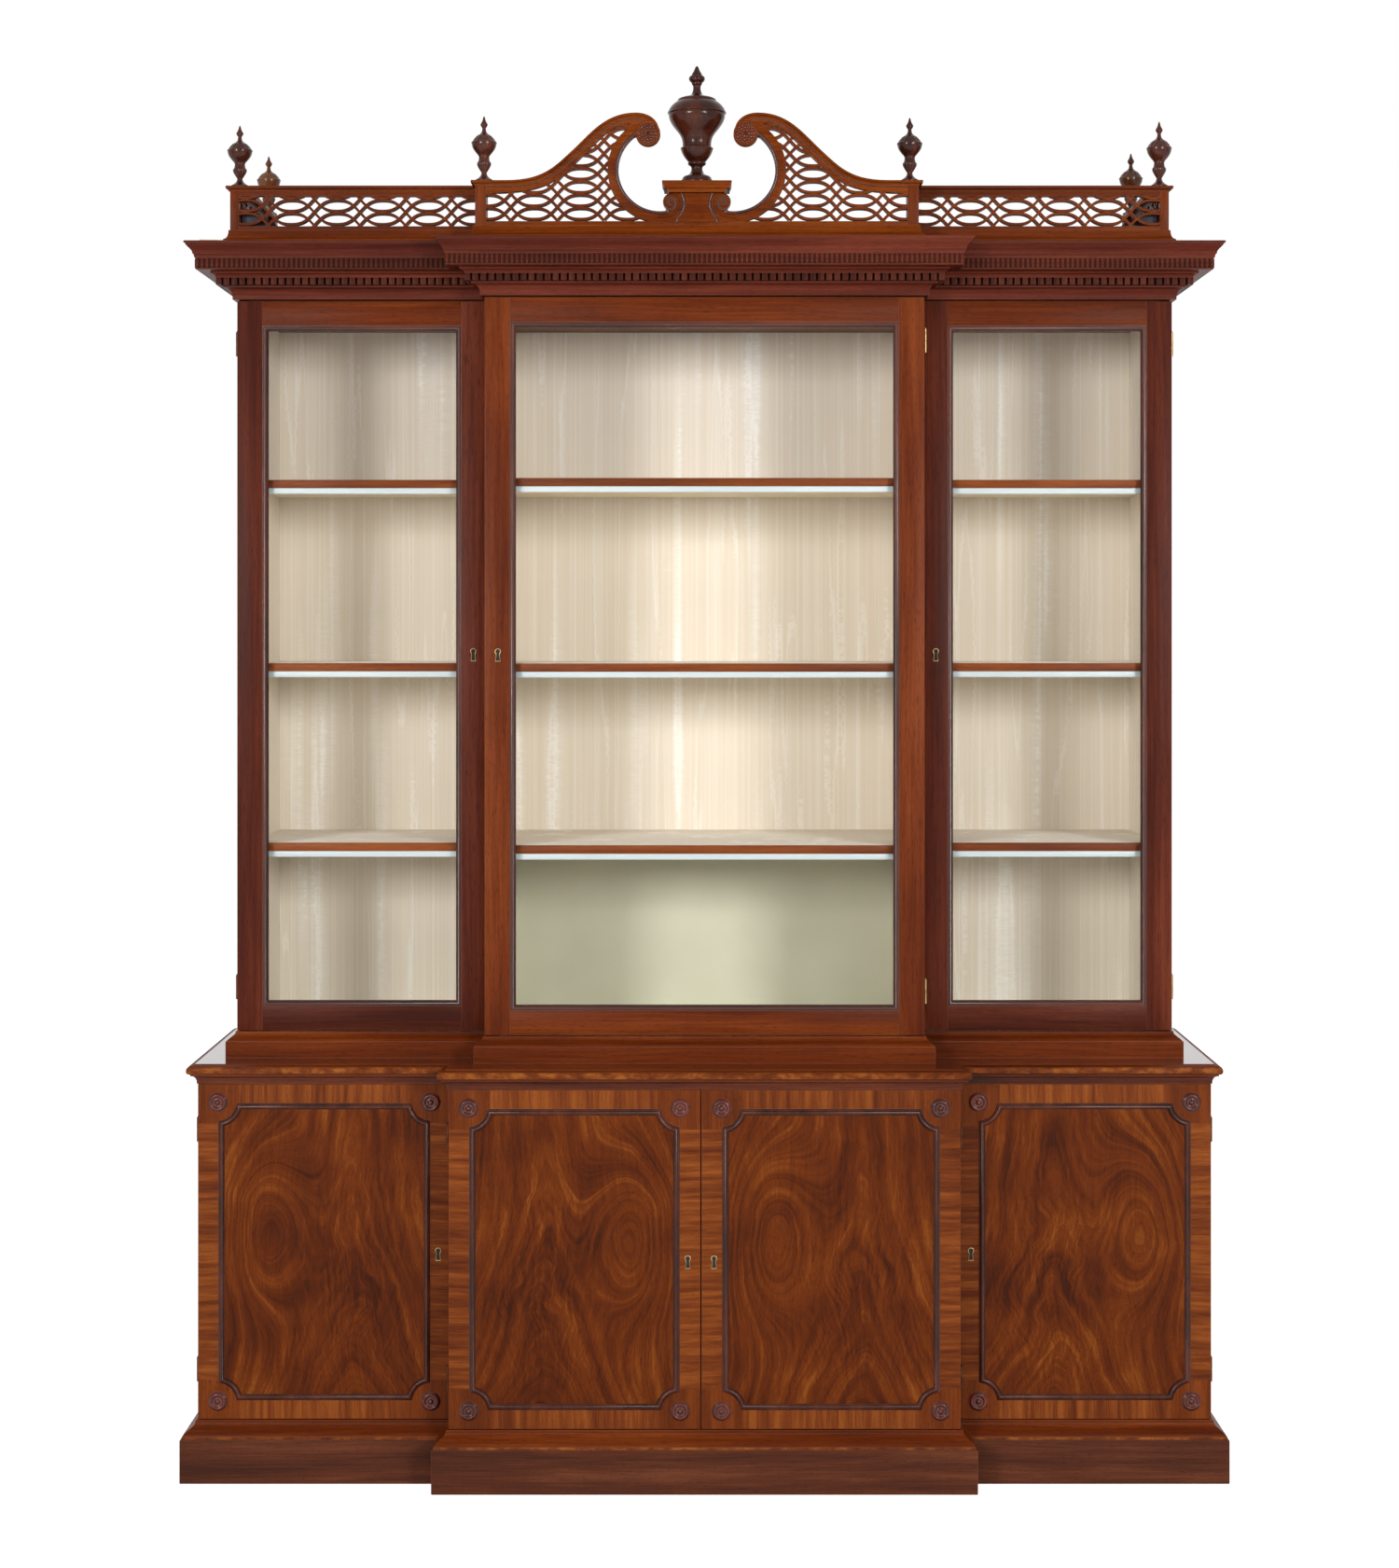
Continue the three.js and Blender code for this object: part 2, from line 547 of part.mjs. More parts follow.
// A convex polygon drawn in by the same distance on each side
function insetPolygon(points, distance) {
  const turn = Math.sign(THREE.ShapeUtils.area(points.map(([x, z]) => new THREE.Vector2(x, z))));
  const edges = points.map(([x0, z0], at) => {
    const [x1, z1] = points[(at + 1) % points.length];
    const length = Math.hypot(x1 - x0, z1 - z0);
    const normal = [(-(z1 - z0) / length) * turn, ((x1 - x0) / length) * turn];
    return { normal, reach: normal[0] * x0 + normal[1] * z0 + distance };
  });
  return edges.map((edge, at) => {
    const next = edges[(at + 1) % edges.length];
    const det = edge.normal[0] * next.normal[1] - edge.normal[1] * next.normal[0];
    return [
      (edge.reach * next.normal[1] - next.reach * edge.normal[1]) / det,
      (edge.normal[0] * next.reach - next.normal[0] * edge.reach) / det,
    ];
  });
}

// The openings of the interlaced fret round one lens column, row by row
const flankShare = 0.17;
const kiteShare = 0.09;
function fretColumn(centreX, pitch, rows) {
  const meet = crossingShare();
  const flank = wave(flankShare);
  const cells = [];
  for (let row = 0; row <= rows; row += 1) {
    const middle = fretBottom + fret.firstRow + row * fret.row;
    const [low, high] = [middle - fret.row / 2, middle + fret.row / 2];
    const kites = [1, -1].map((side) => [
      [side * kiteShare, low], [side * meet, middle - fret.row], [side / 2, low], [side * meet, middle],
    ]);
    cells.push(...kites);
    if (row < rows) {
      const diamond = [[meet, middle], [1 / 2, low], [1 - meet, middle], [1 / 2, high]];
      const lens = [
        [-meet, middle], [-flankShare, high - flank], [flankShare, high - flank],
        [meet, middle], [flankShare, low + flank], [-flankShare, low + flank],
      ];
      cells.push(diamond, lens);
    }
  }
  const placed = cells.map((cell) => cell.map(([share, z]) => [centreX + share * pitch, z]));
  return placed.map((cell) => insetPolygon(cell, fret.strip / 2));
}

// All the openings of a fret that stay inside its zone, without the slivers at its edges
function fretCut(columns, pitch, rows, zone, front, rear) {
  const cells = columns.flatMap((x) => fretColumn(x, pitch, rows));
  const prisms = cells.map((cell) => plateSolid(cell, front - cutOverrun, rear + cutOverrun));
  const least = fret.least * fret.least * (rear - front + 2 * cutOverrun);
  const openings = prisms.map((prism) => prism.intersect(zone)).filter((opening) => opening.volume() > least);
  return wasm.Manifold.union(openings);
}

// The section of the gallery's foot moulding, from its inner edge round the outside
function galleryFoot() {
  const [bottom, top] = [corniceTop, galleryBaseTop];
  const foot = [gallery.baseReach, bottom + gallery.baseFillet];
  const neck = [gallery.baseNeck, bottom + gallery.baseNeckRise];
  return [
    [-gallery.seat, bottom], [gallery.baseReach, bottom], foot, neck,
    ...quarter(neck, [gallery.baseLip, top], 'out'), [-gallery.seat, top],
  ];
}

// A profile run along a path that is known at each projection
function runAlong(pathAt, profile) {
  const levels = profile.map(([reach, z]) => pathAt(reach).map(([x, y]) => [x, y, z]));
  return solidOf(skin(levels[0].map((_, corner) => levels.map((level) => level[corner]))));
}

// One wing of the gallery: fretted front and side, foot moulding, coping and corner brace.
// It is worked out for the right hand, then mirrored for the left.
function addGalleryWing(name, side) {
  const outerX = gallery.half + side * gallery.shift;
  const innerX = pediment.half - gallery.board + side * pediment.shift;
  const rearY = back - gallery.back;
  const path = (reach) => {
    return [[outerX + reach, rearY], [outerX + reach, wingPlane - reach], [innerX, wingPlane - reach]];
  };
  const slab = (from, to, z0, z1) => runAlong(path, [[from, z0], [to, z0], [to, z1], [from, z1]]);
  const foot = runAlong(path, galleryFoot());
  const rails = slab(-gallery.board, 0, galleryBaseTop, copingBottom);
  const coping = slab(-gallery.copingInner, gallery.copingReach, copingBottom, copingTop);
  const postX = [outerX - gallery.backPost, outerX];
  const rearPost = boxSolid(postX, [rearY - gallery.backPost, rearY], [galleryBaseTop, copingBottom]);
  const braceX = outerX - gallery.board;
  const braceY = wingPlane + brace.setback;
  const braceOutline = [
    [braceX, galleryBaseTop], [braceX - brace.length, galleryBaseTop],
    [braceX, galleryBaseTop + brace.height],
  ];
  const corner = plateSolid(braceOutline, braceY, braceY + brace.thickness);

  const frontX = [innerX + gallery.board, outerX - gallery.post];
  const frontY = [wingPlane - cutOverrun, wingPlane + gallery.board + cutOverrun];
  const frontZone = boxSolid(frontX, frontY, [fretBottom, fretTop]);
  const firstColumn = side * gallery.shift + fret.wingPhase;
  const columnCount = Math.ceil((outerX + fret.pitch / 2 - firstColumn) / fret.pitch);
  const columns = Array.from({ length: columnCount }, (_, at) => firstColumn + at * fret.pitch);
  const rows = Math.floor(gallery.zone / fret.row);
  const frontCut = fretCut(columns, fret.pitch, rows, frontZone, wingPlane, wingPlane + gallery.board);

  const sideLength = rearY - gallery.backPost - wingPlane - gallery.post;
  const sideCount = Math.round(sideLength / fret.pitch);
  const through = [-cutOverrun, gallery.board + cutOverrun];
  const sideZone = boxSolid([gallery.post, gallery.post + sideLength], through, [fretBottom, fretTop]);
  const sidePitch = sideLength / sideCount;
  const sideColumns = Array.from({ length: sideCount + 1 }, (_, at) => gallery.post + at * sidePitch);
  const sideCut = fretCut(sideColumns, sidePitch, rows, sideZone, 0, gallery.board);
  const turned = sideCut.rotate([0, 0, 90]).translate([outerX, wingPlane, 0]);

  const whole = joined([rails, foot, coping, rearPost, corner]).subtract(frontCut).subtract(turned);
  const handed = side < 0 ? whole.mirror([1, 0, 0]) : whole;
  addMesh(name, geometryOf(handed.simplify(slightest)), finish.mahogany);
}

// Points along cubic curves whose corners are given as shares of the pediment's half width and rise
function crestPoints(curveShares, steps) {
  const place = ([across, up]) => new THREE.Vector2(across * pediment.half, copingTop + up * pediment.crest);
  return curveShares.flatMap((corners) => {
    const curve = new THREE.CubicBezierCurve(...corners.map(place));
    return curve.getPoints(steps).slice(1).map(({ x, y }) => [x, y]);
  });
}

const crestStartShare = 0.86;
const crestShares = [
  [[0.86, 0], [0.69, 0], [0.64, 0.2], [0.555, 0.455]],
  [[0.555, 0.455], [0.475, 0.7], [0.41, 0.993], [0.275, 0.993]],
  [[0.275, 0.993], [0.21, 0.993], [0.17, 0.87], [0.17, 0.716]],
];
const bandShares = [
  [[0.94, -0.18], [0.69, -0.18], [0.645, -0.02], [0.555, 0.24]],
  [[0.555, 0.24], [0.45, 0.56], [0.4, 0.82], [0.3, 0.845]],
];

// The pediment: swept crests that end in scrolls, round-headed voids, a fretted field and its own foot
function addPediment() {
  const front = upper.front;
  const rear = front + gallery.board;
  const { half, post } = pediment;
  const archZ = corniceTop + pediment.archZ;
  const scrollZ = corniceTop + pediment.scrollZ;
  const mirrored = (solid) => solid.add(solid.mirror([1, 0, 0]));
  const silhouette = [
    [half, galleryBaseTop], [half, copingTop], [crestStartShare * half, copingTop],
    ...crestPoints(crestShares, 4), [pediment.scrollX, scrollZ], [pediment.scrollX, archZ],
    [pediment.tailX, archZ], [pediment.tailX, galleryBaseTop],
  ];
  const [cutFront, cutRear] = [front - cutOverrun, rear + cutOverrun];
  const arch = discSolid(pediment.archX, archZ, pediment.archRadius, cutFront, cutRear, 28);
  const leaf = plateSolid(silhouette, front, rear).subtract(arch);
  const scroll = discSolid(pediment.scrollX, scrollZ, pediment.scrollRadius, front, rear, 20);
  const eyeFront = front - pediment.eyeHeight;
  const eye = discSolid(pediment.scrollX, scrollZ, pediment.eyeRadius, eyeFront, front + cutOverrun, 16);
  const voluteZ = corniceTop + pediment.voluteZ;
  const volute = discSolid(pediment.voluteX, voluteZ, pediment.voluteRadius, front, rear, 14);
  const pedestalFace = pedestal.half + touchGap;
  const neckZ = corniceTop + pedestal.neck - touchGap;
  const tail = plateSolid([
    [pediment.tailX + cutOverrun, galleryBaseTop], [pediment.tailX + cutOverrun, corniceTop + pediment.tailZ],
    [pediment.voluteX, voluteZ], [pediment.voluteX, neckZ], [pedestalFace, neckZ],
    [pedestalFace, galleryBaseTop],
  ], front, rear);

  const band = crestPoints(bandShares, 4);
  const field = plateSolid([
    [half - post, fretBottom], [half - post, band[0][1]], ...band.slice(1),
    [pediment.archX, band[band.length - 1][1]], [pediment.archX, fretBottom],
  ], cutFront, cutRear);
  const bandRadius = pediment.archRadius + pediment.archBand;
  const beyond = [cutFront - cutOverrun, cutRear + cutOverrun];
  const archBand = discSolid(pediment.archX, archZ, bandRadius, ...beyond, 28);
  const columns = Array.from({ length: 4 }, (_, at) => pediment.fretPhase + at * pediment.fretPitch);
  const rows = Math.ceil((gallery.zone + pediment.crest) / fret.row) + 1;
  const cut = fretCut(columns, pediment.fretPitch, rows, field.subtract(archBand), front, rear);
  const halfLeaf = joined([leaf.subtract(cut), scroll, eye, volute, tail]);

  const rail = boxSolid([-pediment.archX, pediment.archX], [front, rear], [galleryBaseTop, fretBottom]);
  const returnEnd = (reach) => wingPlane - reach - touchGap;
  const path = (reach) => [
    [half + reach, returnEnd(gallery.baseReach)], [half + reach, front - reach],
    [-half - reach, front - reach], [-half - reach, returnEnd(gallery.baseReach)],
  ];
  const foot = runAlong(path, galleryFoot());
  const returnX = [half - gallery.board, half];
  const returnRail = boxSolid(returnX, [front, returnEnd(0)], [galleryBaseTop, copingBottom]);
  const coping = boxSolid(
    [half - gallery.copingInner, half + gallery.copingReach],
    [front - gallery.copingReach, returnEnd(gallery.copingReach)], [copingBottom, copingTop],
  );
  const whole = joined([mirrored(joined([halfLeaf, returnRail, coping])), rail, foot]);
  addMesh('pediment', geometryOf(whole.simplify(slightest)), finish.mahogany).position.x = pediment.shift;
}

// Pedestal between the volutes, with a moulded cap that carries the urn
function addPedestal() {
  const front = upper.front - pedestal.front;
  const rear = front + pedestal.depth;
  const neckZ = corniceTop + pedestal.neck;
  const capTop = corniceTop + pedestal.neck + pedestal.capReach;
  const spread = pedestal.capHalf - pedestal.half;
  const levels = [
    [0, fretBottom], [0, neckZ], [spread - pedestal.capReach, neckZ],
    ...quarter(
      [spread - pedestal.capReach, neckZ], [spread - pedestal.neckReach, capTop - pedestal.capFillet], 'up',
    ),
    [spread, capTop - pedestal.capFillet], [spread, capTop],
  ];
  const rings = levels.map(([reach, z]) => {
    const halfX = pedestal.half + reach;
    const reachY = reach * (pedestal.capReach / spread);
    return [
      [-halfX, front - reachY, z], [halfX, front - reachY, z],
      [halfX, rear + reachY, z], [-halfX, rear + reachY, z],
    ];
  });
  addMesh('urn_pedestal', skin(rings), finish.mahogany).position.x = pediment.shift;
  return { top: capTop, axis: (front + rear) / 2 };
}

// The urn: radius and height as shares, from the foot to the tip of its flame
const urnShares = [
  [0, 0], [0.546, 0], [0.533, 0.016], [0.38, 0.04], [0.194, 0.08], [0.28, 0.13], [0.53, 0.25], [0.555, 0.285],
  [0.486, 0.298], [0.5, 0.36], [0.66, 0.432], [0.92, 0.5], [1, 0.58], [0.75, 0.66], [0.66, 0.7],
  [0.34, 0.712], [0.15, 0.733], [0.13, 0.81], [0.27, 0.87], [0, 1],
];
// The small finials, which have the same parts but a squatter lid
const finialShares = [
  [0, 0], [0.72, 0], [0.62, 0.06], [0.17, 0.15], [0.57, 0.285], [0.44, 0.35], [0.52, 0.42], [0.92, 0.55],
  [1, 0.61], [0.76, 0.69], [0.24, 0.765], [0.17, 0.82], [0.3, 0.9], [0, 1],
];

function addUrn(seat) {
  const mesh = addMesh('urn', turning(urnShares, urn), finish.darkMahogany);
  mesh.position.set(pediment.shift, seat.axis, seat.top);
}

function addFinials() {
  const galleryX = gallery.half - finial.inset;
  const pedimentX = pediment.half - finial.inset;
  const places = [
    ['rear_left', gallery.shift - galleryX, back - gallery.back - finial.inset],
    ['corner_left', gallery.shift - galleryX, wingPlane + finial.inset],
    ['pediment_left', pediment.shift - pedimentX, upper.front + finial.inset],
    ['pediment_right', pediment.shift + pedimentX, upper.front + finial.inset],
    ['corner_right', gallery.shift + galleryX, wingPlane + finial.inset],
    ['rear_right', gallery.shift + galleryX, back - gallery.back - finial.inset],
  ];
  places.forEach(([place, x, y]) => {
    const mesh = addMesh(`finial_${place}`, turning(finialShares, finial), finish.darkMahogany);
    mesh.position.set(x, y, copingTop);
  });
}

// A glazed door: a mitred sash with a rebate at the back, which holds one sheet of glass
function addGlazedDoor(name, leaf) {
  const halfX = (leaf.x[1] - leaf.x[0]) / 2;
  const halfZ = (leaf.z[1] - leaf.z[0]) / 2;
  const centreX = (leaf.x[0] + leaf.x[1]) / 2;
  const centreZ = (leaf.z[0] + leaf.z[1]) / 2;
  const railShare = upperDoor.rail / upperDoor.stile;
  const section = [
    [0, 0], [sash.flat, 0], [sash.flat + sash.quirk, sash.quirkDepth], [sash.bead, sash.beadDepth],
    [upperDoor.stile, sash.sightDepth], [upperDoor.stile, sash.rebateDepth], [sash.rebate, sash.rebateDepth],
    [sash.rebate, door.thickness], [0, door.thickness],
  ];
  const corners = [[-1, -1], [1, -1], [1, 1], [-1, 1]];
  const rings = corners.map(([sideX, sideZ]) => section.map(([inset, into]) => [
    centreX + sideX * (halfX - inset), leaf.front + into, centreZ + sideZ * (halfZ - inset * railShare),
  ]));
  const frame = joined([solidOf(skin(rings, true)), ...hingesFor(leaf, 'door')]);
  addMesh(`${name}_frame`, geometryOf(frame), finish.mahogany);
  const paneX = halfX - sash.rebate - glass.clearance;
  const paneZ = halfZ - sash.rebate * railShare - glass.clearance;
  const paneY = leaf.front + sash.rebateDepth;
  addBoard(
    `${name}_glass`, finish.glass, [centreX - paneX, centreX + paneX], [paneY, paneY + glass.thickness],
    [centreZ - paneZ, centreZ + paneZ],
  );
  addEscutcheon(`${name}_escutcheon`, leaf);
}

// The centre line of a panel moulding, which is drawn in round a roundel at each corner
function panelPath(halfX, halfZ) {
  const cornerX = halfX + panel.offsetX;
  const cornerZ = halfZ + panel.offsetZ;
  const from = Math.asin(panel.offsetX / panel.arc);
  const to = Math.PI / 2 - Math.asin(panel.offsetZ / panel.arc);
  const steps = 3;
  return [[1, 1], [-1, 1], [-1, -1], [1, -1]].flatMap(([sideX, sideZ]) => {
    const arc = Array.from({ length: steps + 1 }, (_, step) => {
      const turn = from + ((to - from) * step) / steps;
      return [sideX * (cornerX - panel.arc * Math.sin(turn)), sideZ * (cornerZ - panel.arc * Math.cos(turn))];
    });
    return sideX * sideZ > 0 ? arc : arc.reverse();
  });
}

// A small section run round a closed path in X and Z, mitred at each point
function mouldingAlong(path, section, centreX, centreZ, faceY) {
  const heading = path.map(([x0, z0], at) => {
    const [x1, z1] = path[(at + 1) % path.length];
    const length = Math.hypot(x1 - x0, z1 - z0);
    return [(x1 - x0) / length, (z1 - z0) / length];
  });
  const rings = path.map(([x, z], at) => {
    const [beforeX, beforeZ] = heading[(at + path.length - 1) % path.length];
    const [afterX, afterZ] = heading[at];
    const [sumX, sumZ] = [-beforeZ - afterZ, beforeX + afterX];
    const stretch = 1 / (1 + beforeX * afterX + beforeZ * afterZ);
    return section.map(([across, height]) => [
      centreX + x + sumX * stretch * across, faceY - height, centreZ + z + sumZ * stretch * across,
    ]);
  });
  return solidOf(skin(rings, true));
}

// A cupboard door: a flat leaf with its applied moulding and four turned roundels
function addPanelDoor(name, leaf) {
  const halfX = (leaf.x[1] - leaf.x[0]) / 2;
  const halfZ = (leaf.z[1] - leaf.z[0]) / 2;
  const centreX = (leaf.x[0] + leaf.x[1]) / 2;
  const centreZ = (leaf.z[0] + leaf.z[1]) / 2;
  const leafSolid = boxSolid(leaf.x, [leaf.front, leaf.front + door.thickness], leaf.z);
  const roundelX = halfX - roundel.insetX;
  const roundelZ = halfZ - roundel.insetZ;
  const path = panelPath(roundelX - panel.offsetX, roundelZ - panel.offsetZ);
  const section = [
    [-panel.half, -panel.sunk], [-panel.half, panel.edgeHeight], [panel.crown, panel.crownHeight],
    [panel.half, panel.edgeHeight], [panel.half, -panel.sunk],
  ];
  const moulding = mouldingAlong(path, section, centreX, centreZ, leaf.front);
  const turned = [
    [0, -panel.sunk], [roundel.radius, -panel.sunk], [roundel.rim, roundel.rimHeight],
    [roundel.dish, roundel.dishHeight], [0, roundel.bossHeight],
  ].map(([radius, height]) => new THREE.Vector2(radius, height));
  const roundels = [[-1, -1], [1, -1], [1, 1], [-1, 1]].map(([sideX, sideZ]) => {
    const boss = new THREE.LatheGeometry(turned, 8);
    boss.rotateX(Math.PI);
    boss.translate(centreX + sideX * roundelX, leaf.front, centreZ + sideZ * roundelZ);
    return solidOf(boss);
  });
  const whole = joined([leafSolid, moulding, ...roundels, ...hingesFor(leaf, 'door')]);
  addMesh(name, geometryOf(whole), finish.flame);
  addEscutcheon(`${name}_escutcheon`, leaf);
}

// A brass keyhole thread: a round head above a narrower foot, with the keyhole through it
function keyholeOutline(width, height) {
  const radius = width / 2;
  const headZ = height / 2 - radius;
  const footHalf = radius * (1 - escutcheon.waistShare);
  const head = Array.from({ length: 7 }, (_, step) => {
    const turn = -Math.PI / 5 + ((2 * Math.PI) / 5 + Math.PI) * (step / 6);
    return [radius * Math.cos(turn), headZ + radius * Math.sin(turn)];
  });
  return [...head, [-footHalf, -height / 2], [footHalf, -height / 2]];
}

function addEscutcheon(name, leaf) {
  const toVectors = (points) => points.map(([x, z]) => new THREE.Vector2(x, z));
  const shape = new THREE.Shape(toVectors(keyholeOutline(escutcheon.width, escutcheon.height)));
  const holeWidth = escutcheon.width - 2 * escutcheon.rim;
  const holeHeight = escutcheon.height - 2 * escutcheon.rim;
  shape.holes.push(new THREE.Path(toVectors(keyholeOutline(holeWidth, holeHeight)).reverse()));
  const plate = new THREE.ExtrudeGeometry(shape, { depth: escutcheon.thickness, bevelEnabled: false });
  const mesh = addMesh(name, plate, finish.brass);
  mesh.rotation.x = Math.PI / 2;
  mesh.position.set(leaf.lockX, leaf.front, leaf.lockZ);
}

addPlinth();
addLowerCarcase();
addUpperCarcase();
addCornice();
addDentils();
addGalleryWing('gallery_left', -1);
addGalleryWing('gallery_right', 1);
addPediment();
addUrn(addPedestal());
addFinials();
addGlazedDoor('upper_door_left', leaves.upperWingLeft);
addGlazedDoor('upper_door_centre', leaves.upperCentre);
addGlazedDoor('upper_door_right', leaves.upperWingRight);
addPanelDoor('lower_door_wing_left', leaves.lowerWingLeft);
addPanelDoor('lower_door_centre_left', leaves.lowerCentreLeft);
addPanelDoor('lower_door_centre_right', leaves.lowerCentreRight);
addPanelDoor('lower_door_wing_right', leaves.lowerWingRight);

export default cabinet;
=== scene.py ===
# %% [markdown]
# # A breakfront display cabinet in mahogany
# The real object is a glazed bookcase on a cupboard base. Its middle stands forward of its two wings,
# which is what a cabinet maker calls a breakfront. A fretted gallery and a swan-neck pediment crown it.
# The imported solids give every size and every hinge. This lesson dresses them: it makes the mouldings,
# the fret, the veneers and the turned work again with fine meshes, and leaves the plain boards alone.

# %% Load the frame
import json
import math

import bmesh
import bpy
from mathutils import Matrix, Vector


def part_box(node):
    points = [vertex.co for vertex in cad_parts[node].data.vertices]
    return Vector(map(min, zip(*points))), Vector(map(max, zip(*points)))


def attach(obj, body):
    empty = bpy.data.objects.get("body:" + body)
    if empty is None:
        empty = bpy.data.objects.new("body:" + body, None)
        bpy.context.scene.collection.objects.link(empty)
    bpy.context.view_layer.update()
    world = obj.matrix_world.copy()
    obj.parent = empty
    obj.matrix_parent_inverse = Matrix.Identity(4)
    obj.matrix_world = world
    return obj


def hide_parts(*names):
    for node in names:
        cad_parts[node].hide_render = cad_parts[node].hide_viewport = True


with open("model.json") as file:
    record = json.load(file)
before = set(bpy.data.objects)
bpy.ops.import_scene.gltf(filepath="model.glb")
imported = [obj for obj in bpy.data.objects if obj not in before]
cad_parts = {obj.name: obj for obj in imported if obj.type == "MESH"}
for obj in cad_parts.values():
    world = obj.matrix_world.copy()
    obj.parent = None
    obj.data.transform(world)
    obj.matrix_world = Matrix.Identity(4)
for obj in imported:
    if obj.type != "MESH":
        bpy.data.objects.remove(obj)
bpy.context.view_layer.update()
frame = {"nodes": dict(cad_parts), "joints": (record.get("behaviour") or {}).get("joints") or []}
scene = bpy.context.scene


def placed(name, data):
    """An object in the scene that shows a mesh, a lamp or a camera."""
    made = bpy.data.objects.new(name, data)
    scene.collection.objects.link(made)
    return made


print("Solids in the frame:", len(frame["nodes"]))

# %% [markdown]
# ## Sizes
# A maker's drawing is in millimetres, so the sizes here are too, and each mesh is brought to metres when
# it is made. The plan of each stage is read from the boards of the frame. The doors lie on the front edges
# of the carcase, so the plane of a door is one door thickness in front of those edges.

# %% Plans and heights read from the frame
MM = 0.001
BOARD = 22
DOOR = 22
CARCASE_SETBACK = 22.6


def span(node):
    """The lowest and the highest corner of a solid in the frame, in millimetres."""
    return [[value / MM for value in corner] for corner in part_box(node)]


def plan_of(back, shelf, bottom):
    """Half the width of the wings and of the centre, and the plane of the centre's doors."""
    wing, centre = span(back)[1][0] + BOARD, span(shelf)[1][0] + BOARD
    return {"wing": wing, "centre": centre, "front": span(bottom)[0][1] - CARCASE_SETBACK}


base_plan = plan_of("lower_back", "lower_shelf_centre", "lower_bottom")
case_plan = plan_of("upper_back", "upper_shelf_centre_1", "upper_bottom")
BACK = span("upper_back")[1][1]
STEP = span("upper_door_left_frame")[0][1] - span("upper_door_centre_frame")[0][1]
PLINTH_TOP = span("plinth")[1][2]
BASE_TOP = span("base_moulding")[1][2]
WAIST_BOTTOM = span("waist_moulding")[0][2]
TOP_BOARD_BOTTOM, TOP_BOARD_TOP = [corner[2] for corner in span("lower_top_board")]
SURBASE_TOP = span("surbase_moulding")[1][2]
CORNICE_BOTTOM, CORNICE_TOP = [corner[2] for corner in span("cornice")]
print("Cupboard plan:", base_plan)
print("Bookcase plan:", case_plan)

# %% [markdown]
# ## Camera
# The photograph was taken from straight in front, a little above the middle, with the camera level. Its
# horizon lies above the middle of the picture, so the camera is shifted rather than tilted, which keeps the
# uprights of the cabinet parallel.

# %% Camera
PHOTO_HEIGHT = 1681
PHOTO_WIDTH = 1500
FOCAL_PIXELS = 3080
HORIZON_PIXEL = 680
CENTRE_PIXEL = 755.4
EYE_HEIGHT = 1648
EYE_DISTANCE = 5500
SENSOR = 36

camera_data = bpy.data.cameras.new("camera")
camera_data.sensor_width = SENSOR
camera_data.lens = SENSOR * FOCAL_PIXELS / PHOTO_HEIGHT
camera_data.shift_x = (PHOTO_WIDTH / 2 - CENTRE_PIXEL) / PHOTO_HEIGHT
camera_data.shift_y = (HORIZON_PIXEL - PHOTO_HEIGHT / 2) / PHOTO_HEIGHT
camera = placed("camera", camera_data)
camera.location = (0, (-BACK - EYE_DISTANCE) * MM, EYE_HEIGHT * MM)
camera.rotation_euler = (math.radians(90), 0, 0)
scene.camera = camera
print("Lens in millimetres:", round(camera_data.lens, 2))

# %% [markdown]
# ## Nodes
# Shader trees and geometry trees are built by the same helpers. A graph makes nodes and sets or links their
# inputs. A wire is an output on its way to another node, and arithmetic with wires adds Math nodes.

# %% Wires and graphs
class Wire:
    """An output in a tree, which can be reckoned with like a number."""

    def __init__(self, graph, socket):
        self.graph = graph
        self.socket = socket

    def maths(self, operation, other=0.0, clamp=False):
        return self.graph.maths(operation, self, other, clamp)

    def __add__(self, other):
        return self.maths("ADD", other)

    def __sub__(self, other):
        return self.maths("SUBTRACT", other)

    def __mul__(self, other):
        return self.maths("MULTIPLY", other)

    def __truediv__(self, other):
        return self.maths("DIVIDE", other)


